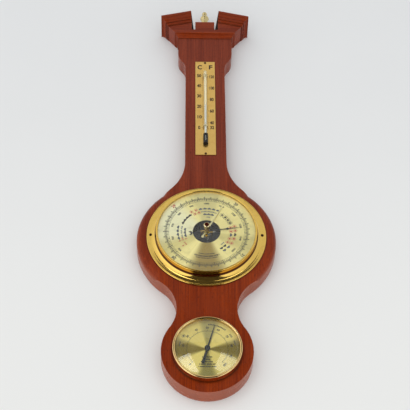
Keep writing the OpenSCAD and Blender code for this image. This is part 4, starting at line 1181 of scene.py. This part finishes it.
@dataclass
class Thermometer:
    """The brass scale plate with its tube, liquid column, bulb guard and pins."""

    face: float = 20.8
    zero_z: float = -109.9
    per_celsius: float = 1.662
    axis_out: float = 22.9
    bulb_z: float = -132.0
    thread_top: float = -77.86
    thread_r: float = 0.85
    bulb_r: float = 1.45
    tick_start: float = 2.3
    tick_width: float = 0.38
    letters_z: float = -12.6
    plate: Metal = Metal("brushed_brass_plate", (246, 204, 116), (220, 168, 84), 0.3, Lay.UPRIGHT,
                         lacquer=0.25)
    pins: Metal = Metal("bronzed_pins", (96, 72, 46), (50, 36, 24), 0.3)
    clips: Metal = Metal("clip_wire", (236, 226, 190), (206, 190, 140), 0.45)
    liquid: Metal = Metal("silver_grey_liquid", (226, 226, 218), (196, 196, 190), 0.35, metallic=0.5,
                          edge=0.0)

    def thread_profile(self) -> list[Point]:
        """Radius and height of the liquid in the bulb and in the tube, with many rings along the tube.

        Returns:
            The outline's points, in millimetres.
        """
        low, top, rings = 1.3, self.thread_top - self.bulb_z, 48
        thread = [(self.thread_r, low + (top - low) * ring / rings) for ring in range(rings + 1)]
        return arc((0.0, 0.0), self.bulb_r, -90, 50, 14) + thread + [(0.0, top)]

    def height(self, celsius: float) -> float:
        """How high a temperature is on the plate, in millimetres in the frame."""
        return self.zero_z + self.per_celsius * celsius

    @staticmethod
    def celsius(fahrenheit: float) -> float:
        """A temperature on the right-hand scale, taken to the left-hand one."""
        return (fahrenheit - 32) / 1.8

    def build(self, bench: Bench) -> None:
        """Dresses the nodes and prints both scales.

        Args:
            bench: The bench that keeps the finishes.
        """
        bench.dress(self.plate, "thermometer_plate")
        bench.dress(self.pins, "plate_pins")
        bench.dress(self.clips, "tube_clips")
        behind_bore = self.axis_out + 0.4
        bench.dress(ClearGlass("opal_backed_tube_glass", behind_bore), "thermometer_tube")
        bench.dress(self.liquid, "meniscus")
        bulb, top = ((0.0, -self.axis_out, z) for z in (self.bulb_z, self.thread_top))
        thread = lathe("liquid_thread", self.thread_profile(), bulb, upright=True, sides=32)
        reach = Stretch("column_top", bulb, top)
        bench.place("liquid_thread", thread, self.liquid, "board", "liquid_column", "liquid", reach)
        bench.dress(ENAMEL, "bulb_guard")
        ink = Print((0.0, 0.0), self.face)
        self.scales(ink)
        bench.place("thermometer_print", ink.mesh("thermometer_print"), INK_BROWN, "board")

    def scales(self, ink: Print) -> None:
        """Prints the Celsius scale on the left and the Fahrenheit scale on the right.

        Args:
            ink: The print that it goes into.
        """
        ends = (4.6, 3.8, 3.3)
        for celsius in range(-2, 53):
            z = self.height(celsius)
            ink.stroke([(-graded(celsius, *ends), z), (-self.tick_start, z)], self.tick_width)
        for fahrenheit in range(28, 126, 2):
            z = self.height(self.celsius(fahrenheit))
            ink.stroke([(self.tick_start, z), (graded(fahrenheit // 2, *ends), z)], self.tick_width)
        for celsius in range(0, 60, 10):
            width = 5.0 if celsius else 2.6
            ink.number(str(celsius), -7.4, self.height(celsius), 5.0, width=width)
        for fahrenheit in (32, 40, 60, 80, 100, 120):
            width = 5.6 if fahrenheit >= 100 else 4.8
            ink.number(str(fahrenheit), 7.6, self.height(self.celsius(fahrenheit)), 4.8, width=width)
        for unit, x, width in (("C", -6.6, 5.4), ("F", 6.6, 4.4)):
            ink.number(unit, x, self.letters_z, 6.8, width=width)


BAROMETER_AXIS = (0.0, -265.0)
HYGROMETER_AXIS = (0.0, -406.5)


@dataclass
class Barometer:
    """The big dial in the middle with its bezel, glass, print and hands."""

    dial_face: float = 28.0
    bottom_hpa: int = 950
    top_hpa: int = 1050
    past_ends_hpa: int = 19
    middle_hpa: float = 1000.0
    degrees_per_hpa: float = 2.6
    hpa_per_inch: float = 33.864
    fiftieths_of_inches: range = range(1375, 1579)
    circle: float = 43.7
    hpa_figures: float = 37.6
    inch_figures: float = 49.4
    rim: Point = (64.2, 20.8)
    rim_r: float = 0.8
    cove: Point = (61.2, 28.0)
    cove_r: float = 6.3
    brass_t: float = 0.9
    lip: Point = (54.3, 31.4)
    lip_r: float = 0.6
    glass_r: float = 53.9
    glass_hole_r: float = 1.5
    glass_back: float = 30.0
    glass_front: float = 31.4
    # The bezel's steep wall carries a painted dark reflection between two radii.
    bezel: Metal = Metal("spun_lacquered_brass", (252, 212, 108), (224, 174, 72), 0.1, Lay.SPUN,
                         BAROMETER_AXIS, marks=0.0015, lacquer=0.3, dark_reflection_band=(54.75, 55.9))
    inner: Metal = Metal("pressed_brass_ring", (224, 190, 100), (176, 136, 66), 0.22, Lay.SPUN,
                         BAROMETER_AXIS)
    screws: Metal = Metal("bronzed_screws", (70, 50, 34), (38, 28, 20), 0.35)
    case: Metal = Metal("pressed_case_steel", (150, 148, 142), (108, 104, 98), 0.38, Lay.SPUN, BAROMETER_AXIS)
    hand: Metal = Metal("pale_hand_brass", (236, 226, 176), (206, 190, 130), 0.3)
    # The knob's front face carries a painted dark reflection near its axis.
    knob: Metal = Metal("polished_knob_brass", (252, 236, 188), (206, 160, 84), 0.1, axis=BAROMETER_AXIS,
                        dark_reflection_core=2.9)

    def dial(self) -> Sunburst:
        """The dial's finish, with painted reflections that leave it darkest below the centre.

        Returns:
            The finish.
        """
        painted_reflections = (
            ReflectionWedge(-72.0, 34.0, (255, 250, 214), 0.8),
            ReflectionWedge(180.0, 22.0, (140, 108, 8), 0.85),
            ReflectionWedge(0.0, 20.0, (190, 178, 122), 0.55),
            ReflectionWedge(-118.0, 14.0, (186, 170, 92), 0.35),
            ReflectionWedge(112.0, 14.0, (186, 170, 92), 0.35),
        )
        return Sunburst("sunburst_pressure_dial", BAROMETER_AXIS[1], (250, 234, 160), painted_reflections)

    def bezel_profile(self) -> list[Point]:
        """Radius and distance out round the bezel's section: the rim, the cove, the lip and the back.

        Returns:
            The outline's points, in millimetres.
        """
        seat = self.rim[1]
        lip_back = self.lip[1] + 0.05
        rim = arc(self.rim, self.rim_r, -90, 120, 14) + [(63.0, seat + self.rim_r)]
        cove = arc(self.cove, self.cove_r, 270, 180, 28)
        lip = arc(self.lip, self.lip_r, 0, 90, 8) + [(53.1, 32.0), (52.8, 31.7)]
        lip += [(52.8, lip_back), (self.cove[0] - self.cove_r - self.brass_t, lip_back)]
        back = arc(self.cove, self.cove_r + self.brass_t, 180, 270, 20) + [(63.3, seat)]
        return rim + cove + lip + back

    def glass_profile(self) -> list[Point]:
        """Radius and distance out round the glass's section, which has a hole in its middle.

        Returns:
            The outline's points, in millimetres.
        """
        hole, rim, back, front = self.glass_hole_r, self.glass_r, self.glass_back, self.glass_front
        bevel = 0.2
        section = [(hole, back), (rim - bevel, back), (rim, back + bevel), (rim, front - bevel)]
        return section + [(rim - bevel, front), (hole + bevel / 2, front), (hole, front - bevel / 2)]

    def bearing(self, hpa: float) -> float:
        """Where a pressure is on the dial, in degrees clockwise from the top."""
        return (hpa - self.middle_hpa) * self.degrees_per_hpa

    def build(self, bench: Bench) -> None:
        """Turns the bezel and the glass, dresses the nodes and prints the dial.

        Args:
            bench: The bench that keeps the finishes.
        """
        origin = (BAROMETER_AXIS[0], 0.0, BAROMETER_AXIS[1])
        bezel = lathe("bezel_spun", self.bezel_profile(), origin, sides=256)
        bench.place("bezel_spun", bezel, self.bezel, "board", "baro_bezel", "bezel_brass")
        glass = lathe("dial_glass", self.glass_profile(), origin)
        bench.place("dial_glass", glass, GLASS, "board", "baro_glass", "clear_glass")
        bench.dress(self.dial(), "baro_dial")
        bench.dress(self.inner, "glass_spacer", "retaining_ring")
        bench.dress(self.screws, "bezel_screws")
        bench.dress(self.case, "baro_case")
        bench.dress(ENAMEL, "baro_pointer")
        bench.dress(self.hand, "set_hand")
        bench.dress(self.knob, "set_knob", "knob_washer")
        inks = {"black": INK_BLACK, "red": INK_RED, "blue": INK_BLUE}
        prints = {colour: Print(BAROMETER_AXIS, self.dial_face) for colour in inks}
        self.scales(prints["black"], prints["red"])
        self.signs(prints)
        for colour, ink in inks.items():
            piece = f"pressure_print_{colour}"
            bench.place(piece, prints[colour].mesh(piece), ink, "board")

    def scales(self, black: Print, red: Print) -> None:
        """Prints hectopascals inside the circle and inches of mercury outside it.

        Args:
            black: The black print.
            red: The red print.
        """
        black.ring(self.circle, 0.4)
        black.ring(self.circle - 2.8, 0.25)
        for hpa in range(self.bottom_hpa - self.past_ends_hpa, self.top_hpa + self.past_ends_hpa + 1):
            inner = self.circle - graded(hpa, 2.9, 2.5, 2.0)
            black.tick(self.bearing(hpa), inner, self.circle, graded(hpa, 0.9, 0.9, 0.6))
        for hpa in range(self.bottom_hpa, self.top_hpa + 1, 10):
            black.label(str(hpa), self.hpa_figures, self.bearing(hpa), 2.2)
        for fiftieth in self.fiftieths_of_inches:
            bearing = self.bearing(fiftieth / 50 * self.hpa_per_inch)
            if abs(bearing) < 180:
                outer = self.circle + graded(fiftieth, 3.2, 3.2, 1.8)
                black.tick(bearing, self.circle, outer, graded(fiftieth, 0.9, 0.9, 0.55))
        for inches, ink in ((28, black), (29, red), (30, black), (31, black)):
            ink.label(str(inches), self.inch_figures, self.bearing(inches * self.hpa_per_inch), 3.4)

    def signs(self, inks: dict[str, Print]) -> None:
        """Prints plain weather signs round the dial, from storm to drought, and rows of dashes at its foot.

        Args:
            inks: The prints, by the colour of their ink.
        """
        rows = (
            Row(Sign.cloud, "blue", 4.6, 30.6, -12, 24, 5),
            Row(Sign.drops, "blue", 4.4, 26.8, -8, 20, 4),
            Row(Sign.cloud, "blue", 4.4, 23.0, -4, 16, 3),
            Row(Sign.drops, "blue", 4.2, 19.2, 6, 6, 1),
            Row(Sign.sun, "red", 4.6, 30.6, -32, -22, 2),
            Row(Sign.sun, "red", 4.6, 26.4, -28, -18, 2),
            Row(Sign.cloud, "black", 4.8, 27.8, -66, -40, 4),
            Row(Sign.cloud, "blue", 4.6, 31.2, -80, -107, 4),
            Row(Sign.drops, "blue", 4.6, 27.2, -80, -104, 3),
            Row(Sign.cloud, "blue", 4.4, 23.4, -84, -104, 3),
            Row(Sign.bolt, "red", 5.4, 31.4, -114, -127, 2),
            Row(Sign.drops, "red", 4.6, 27.8, -111, -125, 2),
            Row(Sign.bolt, "red", 5.0, 24.2, -114, -122, 1),
            Row(Sign.sun, "black", 5.6, 27.8, 38, 66, 4),
            Row(Sign.sun, "red", 5.0, 31.0, 77, 88, 2),
            Row(Sign.sun, "red", 4.8, 26.4, 79, 90, 2),
            Row(Sign.cloud, "black", 4.8, 31.0, 98, 98, 1),
            Row(Sign.cloud, "blue", 4.6, 26.6, 100, 100, 1),
            Row(Sign.sun, "red", 5.0, 30.8, 108, 120, 2),
            Row(Sign.sun, "red", 4.8, 26.4, 111, 122, 2),
            Row(Sign.cloud, "blue", 4.6, 31.0, 131, 142, 2),
            Row(Sign.cloud, "black", 4.6, 27.0, 134, 144, 2),
            Row(Sign.drops, "blue", 4.4, 23.4, 133, 133, 1),
        )
        for row in rows:
            row.put(inks)
        for radius, reach, width in ((29.6, 17, 1.3), (32.6, 24, 1.9), (35.0, 20, 1.1)):
            for step in range(reach):
                start = 180 - reach + step * 2
                inks["black"].ring(radius, width, start, start + (1.5 if step % 5 else 0.8))


@dataclass
class Movement:
    """The works behind the open centre of the barometer dial."""

    chain_top: Place = (1.22, -26.2, -265.0)
    chain_foot: Place = (1.22, -26.2, -284.4)
    links: int = 22
    half_thickness: Point = (0.22, 0.11)
    half_width: float = 0.27
    plate: Metal = Metal("movement_plate_brass", (214, 176, 92), (150, 116, 60), 0.24, Lay.UPRIGHT,
                         marks=0.006)
    parts: Metal = Metal("movement_brass", (238, 196, 96), (190, 140, 60), 0.16)
    steel: Metal = Metal("bright_steel", (190, 190, 192), (140, 138, 136), 0.2, marks=0.005)
    capsule: Metal = Metal("corrugated_capsule", (196, 192, 180), (150, 142, 124), 0.25, Lay.SPUN,
                           BAROMETER_AXIS)

    def chain_mesh(self) -> bpy.types.Mesh:
        """A fine chain of flat links with round ends, in turn thick and thin, each reaching into the next.

        Returns:
            The mesh.
        """
        points: list[Vector] = []
        faces: list[list[int]] = []
        top, foot = Vector(self.chain_top), Vector(self.chain_foot)
        half_length = (top.z - foot.z) / self.links * 0.6
        corners = arc((0.0, 0.0), 1.0, 0, 330, 11)
        for link in range(self.links):
            middle = top + (foot - top) * (link + 0.5) / self.links
            thickness = self.half_thickness[link % 2]
            faces += slab(len(points), len(corners))
            for side in (-thickness, thickness):
                for across, along in corners:
                    reach = max(-1.0, min(1.0, along * 1.15)) * half_length
                    points.append((middle + Vector((side, across * self.half_width, reach))) * MM)
        mesh = bpy.data.meshes.new("fine_chain")
        mesh.from_pydata(points, [], faces)
        mesh.validate()
        return mesh

    def build(self, bench: Bench) -> None:
        """Dresses every piece of the works.

        Args:
            bench: The bench that keeps the finishes.
        """
        bench.dress(self.plate, "movement_plate")
        bench.dress(self.parts, "bridge_pillars", "shaft_posts", "pivot_cock", "baro_arbor")
        steels = ("plate_screws", "regulating_screw", "main_spring", "spring_screws", "main_lever")
        bench.dress(self.steel, *steels, "link_rod", "rocking_shaft", "hairspring")
        reach = Stretch("rocker", self.chain_top, self.chain_foot)
        bench.place("fine_chain", self.chain_mesh(), self.steel, "board", "chain", "steel", reach)
        bench.dress(self.capsule, "aneroid_capsule")
        bench.dress(ENAMEL, "bridge")


@dataclass
class Hygrometer:
    """The small dial at the foot with its bezel, domed glass, print and hand."""

    dial_face: float = 22.3
    degrees_per_percent: float = 2.7
    middle_percent: int = 50
    circle: float = 20.6
    figures: float = 24.8
    signs: float = 28.4
    dashes: float = 28.6
    glass_sphere: float = 165.6
    glass_flat_r: float = 32.4
    glass_r: float = 34.5
    glass_back: float = 25.9
    glass_t: float = 1.2
    bezel: Metal = Metal("spun_foot_brass", (250, 216, 148), (226, 178, 104), 0.08, Lay.SPUN,
                         HYGROMETER_AXIS, marks=0.0015, lacquer=0.3)
    inner: Metal = Metal("foot_spacer_brass", (206, 172, 84), (156, 120, 56), 0.2, Lay.SPUN, HYGROMETER_AXIS)
    case: Metal = Metal("foot_case_steel", (150, 148, 142), (108, 104, 98), 0.38, Lay.SPUN, HYGROMETER_AXIS)
    works: Metal = Metal("foot_works_brass", (222, 182, 92), (160, 120, 56), 0.2)
    coil: Metal = Metal("humidity_strip", (120, 104, 80), (84, 70, 52), 0.4, metallic=0.7)

    def dial(self) -> Sunburst:
        """The dial's finish, with painted reflections that leave it dark at both sides and grey at the top.

        Returns:
            The finish.
        """
        painted_reflections = (
            ReflectionWedge(90.0, 20.0, (108, 90, 2), 0.9),
            ReflectionWedge(-90.0, 22.0, (112, 92, 2), 0.9),
            ReflectionWedge(4.0, 17.0, (142, 132, 76), 0.75),
            ReflectionWedge(180.0, 17.0, (112, 104, 40), 0.8),
        )
        return Sunburst("sunburst_humidity_dial", HYGROMETER_AXIS[1], (222, 200, 112), painted_reflections, 0.4)

    def bezel_profile(self) -> list[Point]:
        """Radius and distance out round the bezel's section: the wall, the round lip and the back.

        Returns:
            The outline's points, in millimetres.
        """
        wall = [(31.4, 20.0), (35.5, 20.0), (35.5, 21.0), (35.2, 21.6), (35.4, 25.0), (35.4, 26.9)]
        lip = arc((34.3, 26.9), 1.1, 10, 90, 10) + [(33.5, 27.9), (33.0, 27.5), (33.0, 27.15)]
        return wall + lip + [(34.6, 27.15), (34.6, 20.9), (31.4, 20.9)]

    def glass_profile(self) -> list[Point]:
        """Radius and distance out round the domed glass's section.

        Returns:
            The outline's points, in millimetres.
        """
        steps, back = 20, self.glass_back
        rim = math.sqrt(self.glass_sphere ** 2 - self.glass_flat_r ** 2)
        radii = [self.glass_flat_r * step / steps for step in range(steps + 1)]
        under = [(r, back + math.sqrt(self.glass_sphere ** 2 - r ** 2) - rim) for r in radii]
        over = [(r, height + self.glass_t) for r, height in reversed(under)]
        return under + [(self.glass_r, back), (self.glass_r, back + self.glass_t)] + over

    def bearing(self, percent: int) -> float:
        """Where a humidity is on the dial, in degrees clockwise from the top."""
        return (percent - self.middle_percent) * self.degrees_per_percent

    def build(self, bench: Bench) -> None:
        """Turns the bezel and the glass, dresses the nodes and prints the dial.

        Args:
            bench: The bench that keeps the finishes.
        """
        origin = (HYGROMETER_AXIS[0], 0.0, HYGROMETER_AXIS[1])
        bezel = lathe("foot_bezel_spun", self.bezel_profile(), origin)
        bench.place("foot_bezel_spun", bezel, self.bezel, "board", "hyg_bezel", "bezel_brass")
        glass = lathe("domed_glass", self.glass_profile(), origin, sides=128)
        bench.place("domed_glass", glass, GLASS, "board", "hyg_glass", "clear_glass")
        bench.dress(self.dial(), "hyg_dial")
        bench.dress(self.inner, "hyg_spacer")
        bench.dress(self.case, "hyg_case")
        bench.dress(self.works, "hyg_bush", "coil_post", "hyg_arbor")
        bench.dress(self.coil, "humidity_coil")
        bench.dress(ENAMEL, "hyg_pointer")
        ink = Print(HYGROMETER_AXIS, self.dial_face)
        self.scale(ink)
        self.dash_rows(ink)
        bench.place("humidity_print", ink.mesh("humidity_print"), INK_BLACK, "board")

    def scale(self, ink: Print) -> None:
        """Prints the percent scale and plain signs for wet and dry.

        Args:
            ink: The print that it goes into.
        """
        ink.ring(self.circle, 0.22, self.bearing(0), self.bearing(100))
        for percent in range(0, 101):
            outer = self.circle + graded(percent, 1.9, 1.4, 0.8)
            ink.tick(self.bearing(percent), self.circle, outer, graded(percent, 0.45, 0.24, 0.24))
        for percent in range(0, 101, 10):
            ink.label(str(percent), self.figures, self.bearing(percent), 2.3)
        Sign(self.signs, 57.0, 4.6).drops(ink)
        Sign(self.signs, -58.0, 4.6).sun(ink)

    def dash_rows(self, ink: Print) -> None:
        """Prints rows of dashes round the dial and below its centre.

        Args:
            ink: The print that it goes into.
        """
        for width, first, last in ((1.5, 2, 42), (1.5, 70, 84), (1.3, -84, -72)):
            for start in range(first, last - 2, 3):
                ink.ring(self.dashes, width, start, start + 2)
        top, apart, pitch = -9.0, 2.7, 1.5
        for row, half in enumerate((5.4, 4.2, 6.6, 8.4, 9.0)):
            z = top - apart * row
            for step in range(int(half * 2 / pitch)):
                left = -half + pitch * step
                ink.stroke([(left, z), (left + (1.2 if step % 4 else 0.8), z)], 1.4)


@dataclass
class Studio:
    """The camera, the lamps and the pale floor that the object lies on. Its sizes are in metres."""

    camera_place: Place = (-0.0243, -1.0018, -0.9626)
    look: Place = (0.0187, 0.7985, 0.6016)
    up: Place = (-0.0067, -0.6016, 0.7987)
    lens: float = 97.38
    middle: Place = (0.0, 0.0, -0.2)
    floor_reach: float = 4.0
    floor_behind: float = 0.0008
    floor_clear: float = 0.003
    # Painted light on the floor: the heights between which it turns from lighter low down to darker high up,
    # and the two colours.
    floor_light_heights: Point = (-0.5, 0.12)
    paper_lit_low: Colour = (237, 238, 237)
    paper_shaded_high: Colour = (224, 226, 228)
    paper_mottle: Colour = (236, 237, 238)
    dimmer_way: Place = (0.45, 0.0, 0.9)
    dimming: Point = (-0.8, 0.5)
    light: Point = (1.25, 0.66)
    cloth: Colour = (40, 34, 28)
    cloth_weave: Colour = (60, 52, 42)
    cloth_away: float = 1.5

    def build(self) -> None:
        """Sets everything up."""
        self.camera()
        self.floor()
        self.world()
        self.box("left_softbox", (-0.31, -1.25, -0.1), (0.25, 0.4), 24.0, 0.85)
        self.box("right_softbox", (0.31, -1.25, -0.06), (0.25, 0.36), -24.0, 0.5)
        self.card("dark_band", 0.0, 0.62, -95.0, 26.0)
        self.card("dark_post", 0.03, 0.06, 26.0, 29.0)
        bpy.context.scene.view_settings.view_transform = "Standard"

    def camera(self) -> None:
        """Puts the camera where the photograph was taken from."""
        data = bpy.data.cameras.new("camera")
        data.lens = self.lens
        data.sensor_width = 36.0
        data.clip_start = 0.05
        camera = bpy.data.objects.new("camera", data)
        forward, up = Vector(self.look).normalized(), Vector(self.up)
        right = forward.cross(up).normalized()
        turn = Matrix((right, right.cross(forward), -forward)).transposed()
        camera.matrix_world = Matrix.Translation(self.camera_place) @ turn.to_4x4()
        bpy.context.scene.collection.objects.link(camera)
        bpy.context.scene.camera = camera

    def floor(self) -> None:
        """Lays the floor just behind the back, with painted light: lighter low down and darker high up.

        It is clear from behind and to short rays, so that the back is lit through it.
        """
        reach = self.floor_reach
        square = ((-reach, -reach), (reach, -reach), (reach, reach), (-reach, reach))
        corners = [(x, self.floor_behind, z) for x, z in square]
        mesh = bpy.data.meshes.new("floor")
        mesh.from_pydata(corners, [], [(0, 1, 2, 3)])
        floor = bpy.data.objects.new("floor", mesh)
        bpy.context.scene.collection.objects.link(floor)
        graph = Graph("pale_floor")
        mottle = graph.noise(graph.place, (0.01, 0.01, 0.01), 3.0)
        # Painted light: the paper is painted lighter low down and darker high up, standing in for the fall of
        # light across it.
        rise = graph.ramp(graph.split(graph.place)[2], *self.floor_light_heights)
        paper = graph.blend(rise, tone(self.paper_lit_low), tone(self.paper_shaded_high))
        paper = graph.blend(graph.times(mottle, 0.3), paper, tone(self.paper_mottle))
        pale = graph.add("ShaderNodeBsdfDiffuse", {"Color": paper}).outputs[0]
        clear = graph.add("ShaderNodeBsdfTransparent").outputs[0]
        behind_it = graph.add("ShaderNodeNewGeometry").outputs["Backfacing"]
        flight = graph.add("ShaderNodeLightPath").outputs["Ray Length"]
        near = graph.math("LESS_THAN", flight, self.floor_clear)
        through = graph.math("MAXIMUM", behind_it, near)
        graph.show(graph.mixed(through, pale, clear))
        mesh.materials.append(graph.material)
        floor.visible_shadow = False

    def world(self) -> None:
        """Fills the room with pale light, brighter low down and on the left."""
        world = bpy.data.worlds.new("room")
        world.use_nodes = True
        tree = world.node_tree
        background = tree.nodes["Background"]
        heading = tree.nodes.new("ShaderNodeTexCoord").outputs["Generated"]
        across = tree.nodes.new("ShaderNodeVectorMath")
        across.operation = "DOT_PRODUCT"
        across.inputs[1].default_value = self.dimmer_way
        tree.links.new(heading, across.inputs[0])
        fall = tree.nodes.new("ShaderNodeMapRange")
        fall.inputs["From Min"].default_value, fall.inputs["From Max"].default_value = self.dimming
        fall.inputs["To Min"].default_value, fall.inputs["To Max"].default_value = self.light
        tree.links.new(across.outputs["Value"], fall.inputs["Value"])
        tree.links.new(fall.outputs[0], background.inputs["Strength"])
        background.inputs["Color"].default_value = (1.0, 1.0, 0.99, 1.0)
        bpy.context.scene.world = world

    def box(self, name: str, place: Place, size: Point, roll: float, power: float) -> None:
        """Hangs a softbox that faces the object.

        Args:
            name: The lamp's name.
            place: Where it hangs.
            size: Its width and height.
            roll: How far it is turned about its aim, in degrees.
            power: Its power in watts.
        """
        data = bpy.data.lights.new(name, "AREA")
        data.shape = "RECTANGLE"
        data.size, data.size_y = size
        data.energy = power
        lamp = bpy.data.objects.new(name, data)
        lamp.location = place
        aim = Vector(self.middle) - Vector(place)
        turn = Quaternion((0.0, 0.0, 1.0), math.radians(roll))
        lamp.rotation_mode = "QUATERNION"
        lamp.rotation_quaternion = aim.to_track_quat("-Z", "Y") @ turn
        lamp.visible_camera = False
        bpy.context.scene.collection.objects.link(lamp)

    def card(self, name: str, middle: float, half: float, lowest: float, highest: float) -> None:
        """Hangs a dark cloth before the object, which only shows in what is polished.

        Args:
            name: The cloth's name.
            middle: How far to the right its middle is.
            half: Half its width.
            lowest: The elevation of its lower edge in degrees.
            highest: The elevation of its upper edge in degrees.
        """
        radius, steps = self.cloth_away, 24
        points = []
        for step in range(steps + 1):
            angle = math.radians(lowest + (highest - lowest) * step / steps)
            y, z = -radius * math.cos(angle), self.middle[2] + radius * math.sin(angle)
            points += [(middle - half, y, z), (middle + half, y, z)]
        faces = [(low, low + 1, low + 3, low + 2) for low in range(0, 2 * steps, 2)]
        mesh = bpy.data.meshes.new(name)
        mesh.from_pydata(points, [], faces)
        card = bpy.data.objects.new(name, mesh)
        bpy.context.scene.collection.objects.link(card)
        graph = Graph(f"cloth_{name}")
        weave = graph.noise(graph.place, (0.02, 0.02, 0.02), 2.0)
        colour = graph.blend(weave, tone(self.cloth), tone(self.cloth_weave))
        graph.show(graph.shader({"Base Color": colour, "Roughness": 0.9}))
        mesh.materials.append(graph.material)
        card.visible_camera = False
        card.visible_diffuse = False
        card.visible_shadow = False
        card.visible_transmission = False


def main() -> None:
    """Builds the studio and each sub-assembly in order."""
    logging.basicConfig(level=logging.INFO, format="%(name)s: %(message)s")
    bench = Bench()
    Studio().build()
    assemblies = (Woodwork(), Finial(), Hanger(), Thermometer(), Barometer(), Movement(), Hygrometer())
    for assembly in assemblies:
        LOG.info("building %s", type(assembly).__name__)
        assembly.build(bench)
    made = set(bench.made.values())
    for name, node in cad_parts.items():
        if not node.hide_render and not made.intersection(node.data.materials):
            LOG.warning("%s has no finish", name)
    bpy.context.view_layer.update()


if __name__ == "__main__":
    main()
